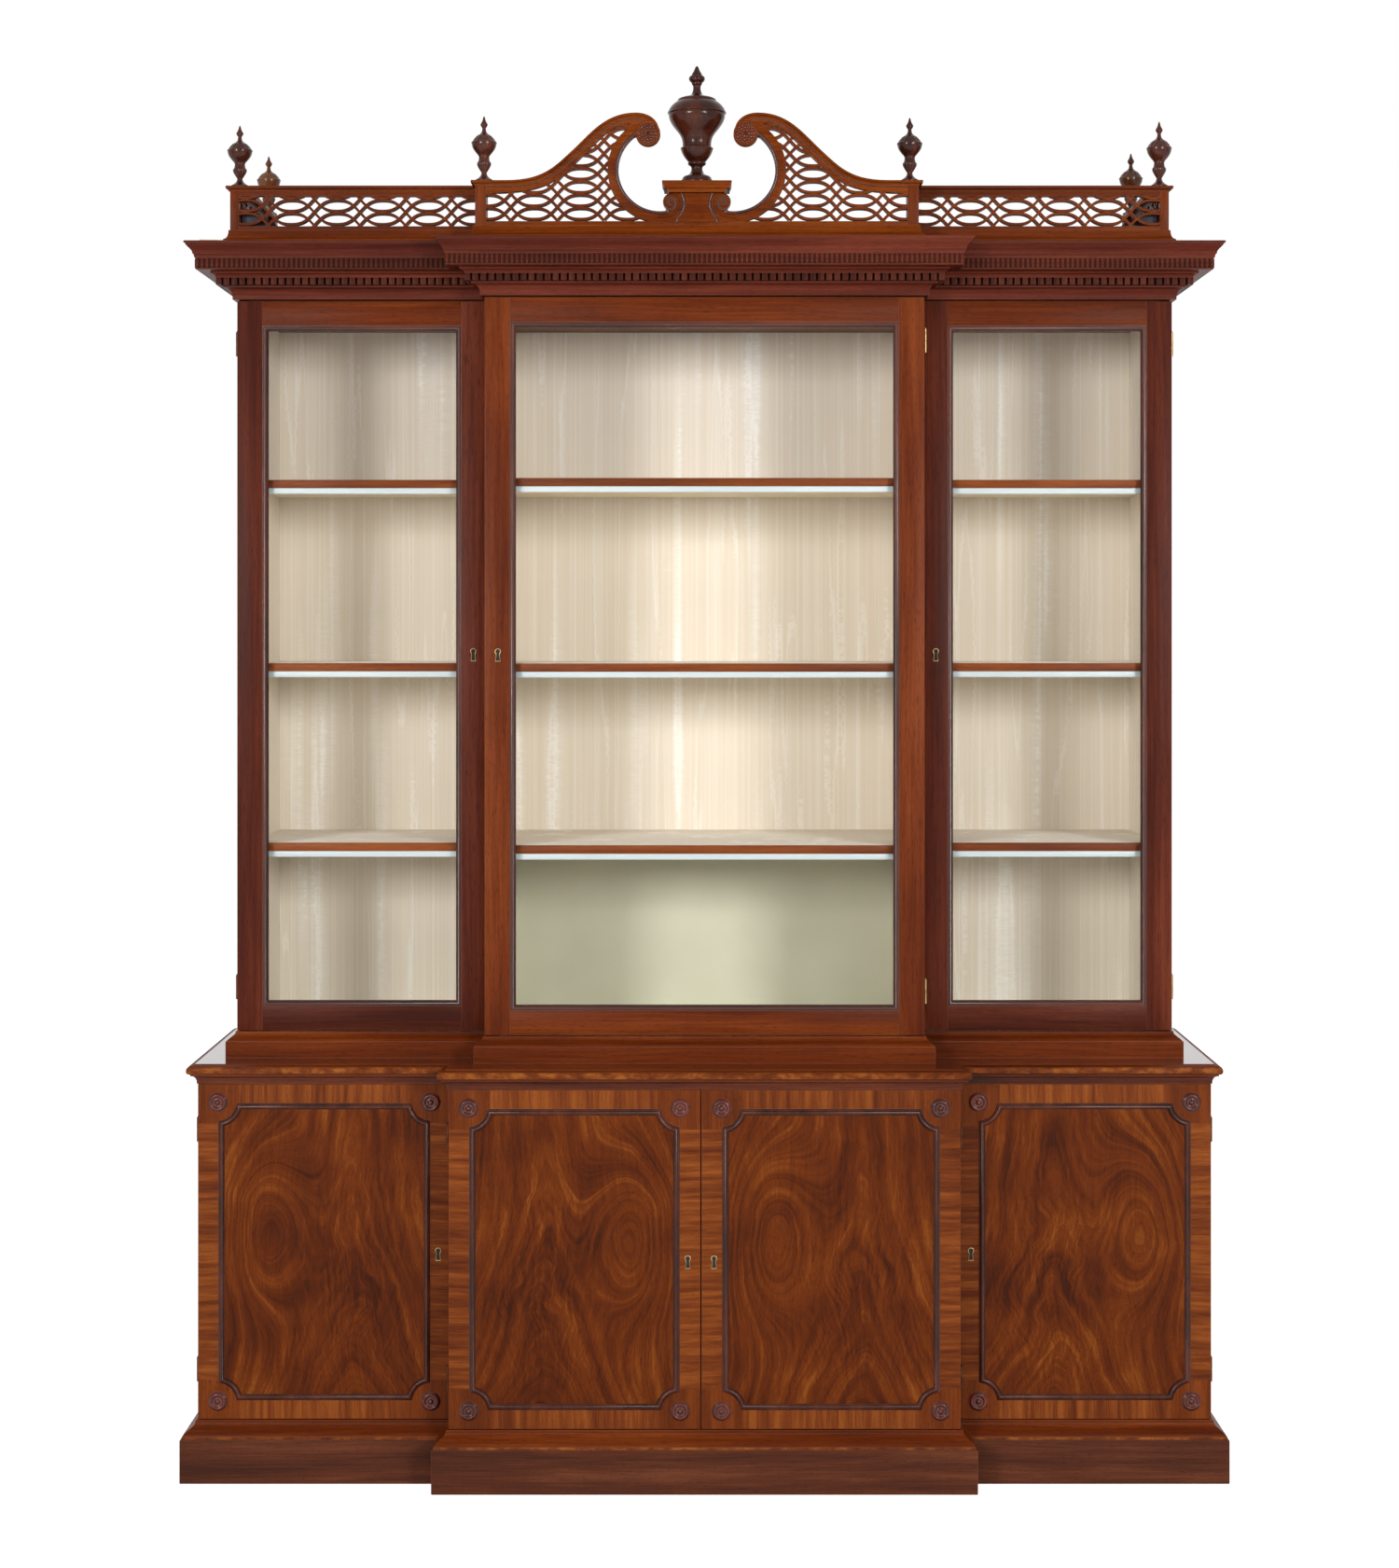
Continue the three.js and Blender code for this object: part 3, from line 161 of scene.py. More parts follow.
class Graph:
    """A tree under construction."""

    def __init__(self, tree):
        self.tree = tree

    def put(self, socket, value):
        """Links a wire to a socket, or gives the socket a value."""
        if isinstance(value, Wire):
            self.tree.links.new(value.socket, socket)
        else:
            socket.default_value = value

    def node(self, kind, inputs=None, **settings):
        """A new node, with settings by name and inputs by name or number."""
        made = self.tree.nodes.new(kind)
        for name, value in settings.items():
            setattr(made, name, value)
        for key, value in (inputs or {}).items():
            self.put(made.inputs[key], value)
        return made

    def wire(self, kind, inputs=None, out=0, **settings):
        """One output of a new node."""
        return Wire(self, self.node(kind, inputs, **settings).outputs[out])

    def wires(self, kind, inputs=None, **settings):
        """All outputs of a new node, by name."""
        return {out.name: Wire(self, out) for out in self.node(kind, inputs, **settings).outputs}

    def maths(self, operation, first, second=0.0, clamp=False):
        return self.wire("ShaderNodeMath", {0: first, 1: second}, operation=operation, use_clamp=clamp)

    def vector(self, operation, *values, out=0):
        return self.wire("ShaderNodeVectorMath", dict(enumerate(values)), out, operation=operation)

    def combine(self, x=0.0, y=0.0, z=0.0):
        return self.wire("ShaderNodeCombineXYZ", {0: x, 1: y, 2: z})

    def separate(self, vector):
        return list(self.wires("ShaderNodeSeparateXYZ", {0: vector}).values())

    def noise(self, place, scale, detail, roughness=0.5, out="Fac"):
        inputs = {"Vector": place, "Scale": scale, "Detail": detail, "Roughness": roughness}
        return self.wire("ShaderNodeTexNoise", inputs, out)

    def mapped(self, place, **changes):
        """A place that is moved, turned or stretched."""
        return self.wire("ShaderNodeMapping", {"Vector": place, **changes})

    def fitted(self, value, low, high, to_low=0.0, to_high=1.0):
        """A value's range from low to high, brought to another range and clamped."""
        inputs = {"Value": value, "From Min": low, "From Max": high, "To Min": to_low, "To Max": to_high}
        return self.wire("ShaderNodeMapRange", inputs)


# %% [markdown]
# A group is a graph with inputs and outputs of its own, and a material is a graph with one Principled
# shader. Colours are written as they look on a screen, and turned into the light that a shader works with.

# %% Groups and materials
VECTOR = "NodeSocketVector"
GEOMETRY = "NodeSocketGeometry"
OBJECT = "NodeSocketObject"
MATERIAL = "NodeSocketMaterial"
UNTURNED = (0, 0, 0)


class Group(Graph):
    """A node group. An input is given as its number, or as the kind of its socket."""

    def __init__(self, name, kind, inputs, outputs):
        super().__init__(bpy.data.node_groups.new(name, kind))
        for title, value in inputs.items():
            number = "NodeSocketInt" if isinstance(value, int) else "NodeSocketFloat"
            socket = value if isinstance(value, str) else number
            made = self.tree.interface.new_socket(name=title, in_out="INPUT", socket_type=socket)
            if socket == number:
                made.default_value = value
        given_out = GEOMETRY if kind == "GeometryNodeTree" else "NodeSocketFloat"
        for title in outputs:
            self.tree.interface.new_socket(name=title, in_out="OUTPUT", socket_type=given_out)
        self.given = self.wires("NodeGroupInput")
        self.ends = self.node("NodeGroupOutput").inputs


def linear(red, green, blue):
    """A colour as seen on a screen, from 0 to 255, as light."""
    parts = [value / 255 for value in (red, green, blue)]
    return [part / 12.92 if part <= 0.04045 else ((part + 0.055) / 1.055) ** 2.4 for part in parts] + [1]


class Material(Graph):
    """A material with one Principled shader."""

    def __init__(self, name):
        self.material = bpy.data.materials.new(name)
        self.material.use_nodes = True
        super().__init__(self.material.node_tree)
        self.shader = self.tree.nodes["Principled BSDF"]

    def shade(self, inputs):
        """Sets inputs of the shader by name, and gives back the material."""
        for name, value in inputs.items():
            self.put(self.shader.inputs[name], value)
        return self.material

    def place(self, turn=UNTURNED):
        """Object coordinates, turned so that the grain runs along Z."""
        return self.mapped(self.wire("ShaderNodeTexCoord", out="Object"), Rotation=turn)

    def group(self, group, **inputs):
        """A group's outputs by name. An input's name is given with _ for a space."""
        named = {name.replace("_", " "): value for name, value in inputs.items()}
        return self.wires("ShaderNodeGroup", named, node_tree=group.tree)

    def mixed(self, share, first, second):
        """The first colour turned into the second by a share from 0 to 1."""
        return self.wire("ShaderNodeMix", {0: share, 6: first, 7: second}, 2, data_type="RGBA")

    def ramp(self, share, stops):
        """Colours along a value from 0 to 1."""
        made = self.node("ShaderNodeValToRGB", {0: share})
        bar = made.color_ramp
        while len(bar.elements) < len(stops):
            bar.elements.new(0.5)
        for element, (place, colour) in zip(bar.elements, stops.items()):
            element.position = place
            element.color = linear(*colour)
        return Wire(self, made.outputs["Color"])

    def bump(self, height, strength, distance, invert=False):
        inputs = {"Height": height, "Strength": strength, "Distance": distance}
        return self.wire("ShaderNodeBump", inputs, invert=invert)


# %% [markdown]
# ## Grain
# Straight mahogany shows soft bands that run with the grain, finer streaks inside them, and short dark
# pores. All three are noise that is drawn out along one axis. The group works with the grain along Z, and
# each material turns its coordinates so that the grain runs the way the board was cut.

# %% The grain group
grain_inputs = {"Place": VECTOR, "Bands": 22.0, "Drawn out": 0.05, "Wander": 0.02}
grain = Group("straight_grain", "ShaderNodeTree", grain_inputs, ["Band", "Streak", "Pore"])
given = grain.given
bend = grain.noise(given["Place"], 2.3, 1.0, out="Color")
wander = grain.combine(given["Wander"], given["Wander"])
bent = grain.vector("MULTIPLY_ADD", bend, wander, given["Place"])


def drawn_noise(finer, along, detail):
    """Noise stretched along the grain, so many times finer than the bands across it."""
    across = given["Bands"] * finer
    size = grain.combine(across, across, across * (given["Drawn out"] * along))
    return grain.noise(grain.vector("MULTIPLY", bent, size), 1.0, detail)


grain.put(grain.ends["Band"], drawn_noise(1.0, 1.0, 3.0))
grain.put(grain.ends["Streak"], drawn_noise(9.0, 0.6, 2.0))
grain.put(grain.ends["Pore"], grain.fitted(drawn_noise(60.0, 0.9, 0.0), 0.62, 0.74))

# %% [markdown]
# ## Worn edges
# Two centuries of hands and dusters leave a pale line on every arris. The Bevel node gives the normal that
# a slightly rounded edge would have. Where it leaves the true normal, the surface is an edge.

# %% The edge group
edge = Group("worn_edge", "ShaderNodeTree", {"Reach": 0.0012, "Place": VECTOR}, ["Edge"])
rounded = edge.wire("ShaderNodeBevel", {"Radius": edge.given["Reach"]}, samples=4)
true_normal = edge.wire("ShaderNodeNewGeometry", out="Normal")
leaning = edge.maths("SUBTRACT", 1.0, edge.vector("DOT_PRODUCT", rounded, true_normal, out="Value"))
patches = edge.noise(edge.given["Place"], 14.0, 3.0)
edge.put(edge.ends["Edge"], leaning.maths("MULTIPLY", patches * 9.0, clamp=True))
print("Shared shader groups:", grain.tree.name, edge.tree.name)

# %% [markdown]
# ## Polished mahogany
# Every wooden surface is French polished, so all the wood materials are made by one function. A finish is
# three colours, from the dark bands to the light ones, a direction for the grain, and how glossy it is.

# %% How wood is made
TURNS = {"x": (0, math.radians(90), 0), "y": (math.radians(90), 0, 0), "z": UNTURNED}
PORE_COLOUR = linear(38, 14, 8)
EDGE_COLOUR = linear(168, 112, 84)
JOINT_COLOUR = linear(24, 14, 8)
BACK_BOARD = 0.19
JOINT_SHARE = 0.986


def finished_wood(made, place, colour, streaks, roughness, edge_share, specular):
    """Pores, worn edges, roughness and relief, which every wood has on top of its colour."""
    worn = made.group(edge, Place=place)["Edge"] * edge_share
    pored = made.mixed(streaks["Pore"] * 0.55, colour, PORE_COLOUR)
    return made.shade({
        "Base Color": made.mixed(worn, pored, EDGE_COLOUR),
        "Roughness": made.fitted(streaks["Streak"], 0, 1, roughness - 0.06, roughness + 0.08),
        "Normal": made.bump(streaks["Pore"], 0.12, 0.0004, invert=True),
        "Specular IOR Level": specular,
    })


def board_joints(made, colour):
    """Dark joints between upright boards, for a back that is made of several."""
    across = made.separate(made.wire("ShaderNodeTexCoord", out="Object"))[0]
    inside = (across / (BACK_BOARD / 2)).maths("PINGPONG", 1.0)
    return made.mixed(inside.maths("GREATER_THAN", JOINT_SHARE) * 0.8, colour, JOINT_COLOUR)


def straight_wood(name, palette, run, bands=22.0, drawn=0.05, wander=0.02, roughness=0.42, specular=0.08,
                  coat=0.0, edge_share=0.5, boards=False):
    """Straight-grained mahogany. run is the axis that the grain follows."""
    made = Material(name)
    place = made.place(TURNS[run])
    streaks = made.group(grain, Place=place, Bands=bands, Drawn_out=drawn, Wander=wander)
    share = streaks["Band"] * 0.5 + streaks["Streak"] * 0.26 + made.noise(place, 2.6, 2.0) * 0.24
    colour = made.ramp(share, dict(zip((0.38, 0.5, 0.62), palette)))
    if boards:
        colour = board_joints(made, colour)
    made.shade({"Coat Weight": coat, "Coat Roughness": 0.07})
    return finished_wood(made, place, colour, streaks, roughness, edge_share, specular)


# %% Wood finishes
MAHOGANY = (76, 28, 9), (100, 42, 14), (122, 58, 24)
RAIL = (74, 26, 3), (97, 38, 6), (118, 53, 15)
RED = (62, 20, 13), (84, 32, 20), (104, 46, 30)
DARK = (44, 17, 11), (66, 27, 18), (88, 41, 28)
TURNED = (34, 12, 7), (53, 21, 12), (76, 35, 21)
# The wing stiles' palette is partly their own darker tone and partly painted shade from the projecting
# centre.
WING_TONE_AND_SHADE = (62, 23, 13), (86, 35, 20), (108, 50, 32)
FINIAL = (46, 20, 13), (69, 31, 20), (94, 48, 32)
FINIAL_PALE = (66, 34, 16), (92, 52, 26), (124, 76, 42)
WING_FOOT = (56, 19, 8), (78, 31, 16), (98, 45, 27)
SWAN = (80, 28, 1), (106, 43, 2), (128, 60, 11)
WORN = (78, 33, 11), (112, 53, 18), (154, 88, 36)
ROUNDEL_WOOD = (58, 20, 14), (86, 34, 24), (112, 52, 38)
WAIST = (58, 22, 12), (80, 34, 18), (102, 48, 26)
SEAM_WOOD = (44, 16, 9), (64, 27, 15), (84, 39, 23)
BAND = (82, 34, 11), (112, 53, 18), (141, 75, 28)
PLAIN = (84, 54, 34), (112, 74, 46), (134, 92, 60)
SHELF_FRONT = (86, 34, 5), (116, 54, 11), (138, 71, 24)
PLINTH = (58, 26, 14), (82, 40, 22), (104, 56, 34)
# RECESS_SHADE is painted shade for the backs of the cornice's recesses.
RECESS_SHADE = (38, 15, 10), (50, 21, 14), (64, 29, 20)
CORNER_VENEER = (82, 34, 10), (101, 45, 12), (122, 58, 19)
RAW = (176, 128, 84), (202, 158, 112), (224, 186, 142)

rubbed = dict(bands=70.0, drawn=0.6, roughness=0.3)
glossy = dict(bands=40.0, roughness=0.24, specular=0.42)
lathed = dict(bands=30.0, drawn=0.12, roughness=0.16, specular=0.2, edge_share=0.15)
lathed_fine = {**lathed, "roughness": 0.17, "specular": 0.34}
planed_fine = dict(bands=30.0, drawn=0.3, roughness=0.22, specular=0.24, edge_share=0.3)
waxed = dict(bands=16.0, roughness=0.6, specular=0.2)
wood = {
    "stile": straight_wood("mahogany_stile", MAHOGANY, "z"),
    "side": straight_wood("mahogany_side", MAHOGANY, "z", bands=14.0),
    "rail": straight_wood("mahogany_rail", RAIL, "x"),
    "return": straight_wood("mahogany_return", RAIL, "y"),
    "red": straight_wood("cornice_front", RED, "x", edge_share=0.35),
    "red_return": straight_wood("cornice_return", RED, "y", edge_share=0.35),
    "dentil": straight_wood("dentil_wood", DARK, "z", bands=40.0, specular=0.06, edge_share=0.2),
    "wing_stile_tone_and_shade": straight_wood("mahogany_wing_stile", WING_TONE_AND_SHADE, "z", bands=16.0),
    "wing_foot": straight_wood("mahogany_wing_foot", WING_FOOT, "x", bands=16.0),
    "waist": straight_wood("waist_wood", WAIST, "x", bands=30.0, roughness=0.25, specular=0.12),
    "worn": straight_wood("worn_edge", WORN, "x", wander=0.05, **rubbed),
    "worn_return": straight_wood("worn_edge_return", WORN, "y", **rubbed),
    "polished": straight_wood("polished_top", RAIL, "x", roughness=0.2, coat=1.0),
    "swan": straight_wood("pediment_wood", SWAN, "x", specular=0.06),
    "shelf": straight_wood("shelf_front", SHELF_FRONT, "x", edge_share=0.1),
    "dark": straight_wood("dark_moulding", DARK, "x", **glossy),
    "dark_upright": straight_wood("dark_moulding_upright", DARK, "z", **glossy),
    "seam": straight_wood("seam_moulding", SEAM_WOOD, "z", **planed_fine),
    "turned": straight_wood("turned_mahogany", TURNED, "z", **lathed),
    "finial": straight_wood("finial_wood", FINIAL, "z", **lathed),
    "finial_pale": straight_wood("finial_pale_wood", FINIAL_PALE, "z", **lathed),
    "roundel": straight_wood("roundel_wood", ROUNDEL_WOOD, "z", **lathed_fine),
    "plinth": straight_wood("plinth_front", PLINTH, "x", bands=30.0, roughness=0.5, specular=0.12),
    "plinth_return": straight_wood("plinth_side", PLINTH, "y", roughness=0.5, specular=0.12),
    "recess_shade": straight_wood("dark_recess", RECESS_SHADE, "x", roughness=0.6, specular=0.05, edge_share=0.0),
    "band_upright": straight_wood("crossband_rail", BAND, "z", bands=76.0, drawn=0.04),
    "band_level": straight_wood("crossband_stile", BAND, "x", bands=96.0, wander=0.03),
    "corner": straight_wood("corner_veneer", CORNER_VENEER, "z", bands=26.0),
    "plain": straight_wood("carcase_wood", PLAIN, "x", **waxed),
    "plain_upright": straight_wood("carcase_upright", PLAIN, "z", boards=True, **waxed),
    "raw": straight_wood("raw_wood", RAW, "x", edge_share=0.0),
}
print("Wood finishes:", len(wood))

# %% [markdown]
# ## Flame veneer
# Each cupboard door shows a sheet cut through a knot. The lines of the grain are the contours of a slope
# with a bump on it: they run upright, and close into long ovals round the bump. A feather of short
# branching strokes fans up the middle. The four sheets come from one log, so the doors mirror each other.

# %% The flame group
flame_inputs = {"Place": VECTOR, "Knot across": 0.1, "Knot height": 0.03, "Feather across": -0.05}
flame = Group("flame_figure", "ShaderNodeTree", flame_inputs, ["Figure", "Mottle"])
given = flame.given
veer = flame.noise(given["Place"], 6.5, 3.0, out="Color")
rags = flame.noise(given["Place"], 46.0, 3.0, out="Color")
veered = flame.vector("MULTIPLY_ADD", rags, (0.09, 0.09, 0.09), veer)
centred = flame.vector("SUBTRACT", veered, (0.545, 0.545, 0.545))
still = flame.separate(given["Place"])


def hill(place, across, up, width, height):
    """A round-topped hill at a place in the sheet."""
    x = (place[0] - across) / width
    z = (place[2] - up) / height
    return flame.maths("POWER", 2.718, (x * x + z * z) * -1.0)


crotch = hill(still, given["Feather across"], -0.06, 0.1, 0.22)
unrest = crotch * 0.085 + 0.03
swayed = flame.vector("MULTIPLY_ADD", centred, flame.combine(unrest, 0.0, unrest), given["Place"])
at = flame.separate(swayed)
knot = hill(at, given["Knot across"], given["Knot height"], 0.085, 0.17) * -0.2
aside = at[0] - given["Feather across"]
feather = (aside * aside + 0.0004).maths("SQRT")
below = at[2] - 0.3
slope = feather + below * below * -0.42 + knot
line_place = flame.combine(slope, still[1], at[2] * 0.06)
contour = flame.noise(line_place, 54.0, 5.0, 0.58)
hairs = flame.noise(line_place, 260.0, 3.0, 0.6)
flame.put(flame.ends["Figure"], contour * 0.72 + hairs * 0.28)
fan = aside.maths("ARCTAN2", at[2] + 0.4)
strokes = flame.noise(flame.combine(fan * 7.0, 0.0, at[2]), 7.0, 6.0, 0.66)
brushed = (strokes - 0.5) * (crotch * 1.5)
flame.put(flame.ends["Mottle"], flame.noise(swayed, 7.0, 5.0) - crotch * 0.14 + brushed)


# %% A sheet of flame veneer
FLAME_COLOURS = {0.37: (56, 20, 3), 0.46: (84, 33, 4), 0.54: (104, 46, 8), 0.66: (142, 78, 24)}


def flame_veneer(name, centre_x, centre_z, hand, sheet):
    """The veneer of one door. hand is 1 where the knot lies left of the middle, and -1 otherwise."""
    made = Material(name)
    middle = (-centre_x * MM * hand, 0.11 * sheet, -centre_z * MM)
    here = made.wire("ShaderNodeTexCoord", out="Object")
    about = made.mapped(here, Location=middle, Scale=(hand, 1, 1))
    figure = made.group(flame, Place=about, Knot_across=-0.125, Knot_height=0.05, Feather_across=0.06)
    streaks = made.group(grain, Place=about, Wander=0.12)
    share = figure["Figure"] * 0.6 + figure["Mottle"] * 0.3 + streaks["Streak"] * 0.1
    return finished_wood(made, about, made.ramp(share, FLAME_COLOURS), streaks, 0.34, 0.0, 0.08)


# %% [markdown]
# ## Silk, glass, brass and painted parts
# The bookcase is lined with cream watered silk: upright ribs, woven stripes, and pale wavering marks where
# the ribs were pressed flat. The glass lets the lamps through to the lining, so its shader is clear for
# shadow rays. A thin pane bends and mirrors little, so its index is set low.

# %% Silk
STRIPE_PITCH = 0.043


def watered_silk(name, dark, light):
    """Cream silk with upright ribs and water marks."""
    made = Material(name)
    place = made.place()
    ribs = made.noise(made.mapped(place, Scale=(170, 170, 1.0)), 1.0, 2.0)
    shake = made.noise(made.mapped(place, Scale=(24, 24, 110)), 1.0, 2.0, out="Color")
    shaken = made.vector("MULTIPLY_ADD", shake, (0.009, 0.009, 0), place)
    press = made.noise(made.mapped(shaken, Scale=(13, 13, 0.5)), 1.0, 3.0)
    mark = made.fitted((press * 11.0).maths("PINGPONG", 1.0), 0.86, 1.0)
    across, deep, _ = made.separate(place)
    stripe = made.fitted(((across + deep) / (STRIPE_PITCH / 2)).maths("PINGPONG", 1.0), 0.9, 0.98)
    ripples = made.noise(made.mapped(place, Scale=(40, 40, 260)), 1.0, 1.0)
    pockets = made.fitted(press, 0.56, 0.64) * ripples * 0.6
    share = (ribs * 0.5 + mark * 0.26 + stripe * 0.14).maths("ADD", pockets, clamp=True)
    return made.shade({
        "Base Color": made.ramp(share, {0.2: dark, 0.8: light}),
        "Roughness": 0.6,
        "Specular IOR Level": 0.2,
        "Sheen Weight": 0.15,
        "Normal": made.bump(ribs, 0.15, 0.0004),
    })


# %% Paint, metal and glass
def painted(name, dark, light, roughness, scale, metallic=0.0):
    """Paint, brushed metal or plastic with a slight unevenness."""
    made = Material(name)
    cloud = made.noise(made.place(), scale, 4.0)
    return made.shade({"Base Color": made.ramp(cloud, {0.35: dark, 0.65: light}), "Metallic": metallic,
                       "Roughness": made.fitted(cloud, 0, 1, roughness - 0.08, roughness + 0.08)})


def clear_glass(name):
    """Old sheet glass, a little wavy, which lets lamps through."""
    made = Material(name)
    waves = made.noise(made.place(), 7.0, 1.0)
    made.shade({"Base Color": (1, 1, 1, 1), "Roughness": 0.0, "Transmission Weight": 1.0, "IOR": 1.15,
                "Normal": made.bump(waves, 0.02, 0.001)})
    rays = made.wires("ShaderNodeLightPath")
    lamp_ray = rays["Is Shadow Ray"].maths("MAXIMUM", rays["Is Diffuse Ray"])
    through = made.wire("ShaderNodeBsdfTransparent")
    pane = Wire(made, made.shader.outputs[0])
    both = made.wire("ShaderNodeMixShader", {0: lamp_ray, 1: pane, 2: through})
    made.put(made.tree.nodes["Material Output"].inputs["Surface"], both)
    return made.material


silk = watered_silk("watered_silk", (230, 219, 201), (251, 248, 241))
lining = painted("lining_paint", (200, 199, 176), (210, 209, 187), 0.6, 5.0)
cream = painted("cream_paint", (234, 220, 188), (242, 230, 199), 0.6, 5.0)
light_strip = painted("light_strip", (184, 194, 195), (196, 205, 206), 0.45, 3.0)
brass = painted("brass", (142, 114, 74), (174, 144, 100), 0.36, 60.0, metallic=1.0)
tarnished = painted("tarnished_brass", (70, 41, 25), (98, 60, 38), 0.55, 90.0, metallic=1.0)
keyhole = painted("keyhole_shadow", (10, 7, 5), (14, 10, 8), 0.8, 20.0)
# The brace's blue-grey is darkened as painted shade inside the gallery's corner.
grey_brace_and_shade = painted("blue_grey_paint", (44, 46, 54), (62, 64, 74), 0.7, 30.0)
glass = clear_glass("sheet_glass")
print("Other finishes: silk, paint, strip, brass, keyhole, blue-grey and glass")

# %% [markdown]
# ## Building up a piece
# A piece is gathered from loose parts, each with the number of its finish, and made into one mesh at the
# end. The parts are skins stretched over rings of points, so that a moulding, a turning and a board are all
# made in the same way.

# %% From parts to a piece
MERGE_GAP = 0.00001


def turn_outwards(mesh, merge=False):
    """Turns the faces outwards, and merges points that lie in one place where that is asked."""
    solid = bmesh.new()
    solid.from_mesh(mesh)
    if merge:
        bmesh.ops.remove_doubles(solid, verts=solid.verts[:], dist=MERGE_GAP)
    bmesh.ops.recalc_face_normals(solid, faces=solid.faces)
    solid.to_mesh(mesh)
    solid.free()


def smoothed(name, mesh, angle=38):
    """An object with smooth faces, except over edges that are sharper than an angle."""
    mesh.shade_smooth()
    mesh.set_sharp_from_angle(angle=math.radians(angle))
    return placed(name, mesh)


def make_piece(name, parts, finishes, smooth=38):
    """One object from pairs of a part and its number in finishes, which are materials or names of woods."""
    points, faces, numbers = [], [], []
    for (part_points, part_faces), number in parts:
        faces += [[len(points) + corner for corner in face] for face in part_faces]
        points += part_points
        numbers += number if isinstance(number, list) else [number] * len(part_faces)
    mesh = bpy.data.meshes.new(name)
    mesh.from_pydata([[value * MM for value in point] for point in points], [], faces)
    for finish in finishes:
        mesh.materials.append(wood.get(finish, finish))
    mesh.polygons.foreach_set("material_index", numbers)
    turn_outwards(mesh)
    return smoothed(name, mesh, smooth)


def fit(piece, slot, *nodes, body="root"):
    """Rides the piece on its body, and hides the solids of the frame that it stands for. slot is not used.
    """
    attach(piece, body)
    if nodes:
        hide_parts(*nodes)
    print(f"{piece.name}: {len(piece.data.polygons)} faces on {body}")
    return piece


def build(name, parts, finishes, slot, *nodes, body="root", smooth=38):
    """Makes a piece and fits it."""
    return fit(make_piece(name, parts, finishes, smooth), slot, *nodes, body=body)


def moved(parts, change):
    """The same parts with every point changed."""
    return [(([change(*point) for point in points], faces), number) for (points, faces), number in parts]


# %% Boards, skins, turnings and swept mouldings
def skin(rings, closed=False):
    """Faces over rings of points that follow one another, capped at the ends unless the rings close."""
    count = len(rings[0])
    points = [point for ring in rings for point in ring]
    faces = []
    for ring in range(len(rings) if closed else len(rings) - 1):
        near, far = ring * count, (ring + 1) % len(rings) * count
        for corner in range(count):
            after = (corner + 1) % count
            faces.append([near + corner, near + after, far + after, far + corner])
    if not closed:
        faces.append(list(range(count)))
        faces.append([len(points) - count + corner for corner in range(count)])
    return points, faces


def ease_edges(solid, edges, ease):
    how = dict(segments=2, profile=0.5, affect="EDGES", clamp_overlap=True)
    bmesh.ops.bevel(solid, geom=edges, offset=ease, **how)


def part_of(solid):
    """The points and faces of a solid that is done with."""
    solid.verts.index_update()
    points = [tuple(vertex.co) for vertex in solid.verts]
    faces = [[vertex.index for vertex in face.verts] for face in solid.faces]
    solid.free()
    return points, faces


def eased_box(x, y, z, ease=0.8):
    """A board with its sharp edges taken off."""
    solid = bmesh.new()
    bmesh.ops.create_cube(solid, size=1)
    for vertex in solid.verts:
        vertex.co = [low + (high - low) * (part + 0.5) for (low, high), part in zip((x, y, z), vertex.co)]
    ease_edges(solid, solid.edges[:], ease)
    return part_of(solid)


def plate(outline, front, rear, ease=0.6):
    """A flat board sawn to an outline in X and Z, with its arrises eased."""
    solid = bmesh.new()
    face = solid.faces.new([solid.verts.new((x, front, z)) for x, z in outline])
    for pushed in bmesh.ops.extrude_face_region(solid, geom=[face])["geom"]:
        if isinstance(pushed, bmesh.types.BMVert):
            pushed.co.y = rear
    rims = [line for line in solid.edges if abs(line.verts[0].co.y - line.verts[1].co.y) < 1e-6]
    ease_edges(solid, rims, ease)
    return part_of(solid)


def turned(profile, centre, sides=48, axis="up"):
    """A turning from pairs of radius and height. Its ends lie on the axis."""
    points, faces, rows = [], [], []
    for radius, height in profile:
        count = 1 if radius == 0 else sides
        rows.append([len(points) + step for step in range(count)])
        for step in range(count):
            angle = 2 * math.pi * step / sides
            across, over = radius * math.cos(angle), radius * math.sin(angle)
            place = (across, over, height) if axis == "up" else (across, -height, over)
            points.append([part + start for part, start in zip(place, centre)])
    for low, high in zip(rows, rows[1:]):
        for step in range(sides):
            after = (step + 1) % sides
            corners = (low, step), (low, after), (high, after), (high, step)
            faces.append(list(dict.fromkeys(row[at % len(row)] for row, at in corners)))
    return points, faces


def swept(path, section, face_y, closed=False, taper=1.0):
    """A section of (across, proud) pairs run along a path in X and Z, mitred at its corners.

    taper is the size of the section at the end of the path, as a share of its size at the start."""
    count = len(path)
    rings = []
    for at, (x, z) in enumerate(path):
        before = path[at - 1] if closed or at else path[0]
        after = path[(at + 1) % count] if closed or at < count - 1 else path[-1]
        into = Vector((x - before[0], z - before[1]))
        away = Vector((after[0] - x, after[1] - z))
        into = (into if into.length else away).normalized()
        away = (away if away.length else into).normalized()
        stretch = 1 / max(1 + into.dot(away), 0.3)
        side = (-(into.y + away.y) * stretch, (into.x + away.x) * stretch)
        size = 1 + (taper - 1) * at / count
        rings.append([(x + side[0] * across * size, face_y - proud * size, z + side[1] * across * size)
                      for across, proud in section])
    return skin(rings, closed)


# %% [markdown]
# A profile is a line of points, each with how far it stands out and how high it is. Between them run the
# curves that a moulding plane cuts: quarter rounds and hollows, an S-shaped ogee, and a bead.

# %% Lines and profiles
def shares(steps, first=0):
    """Even steps up to 1."""
    return [step / steps for step in range(first, steps + 1)]


def between(start, end, out, up):
    return start[0] + (end[0] - start[0]) * out, start[1] + (end[1] - start[1]) * up


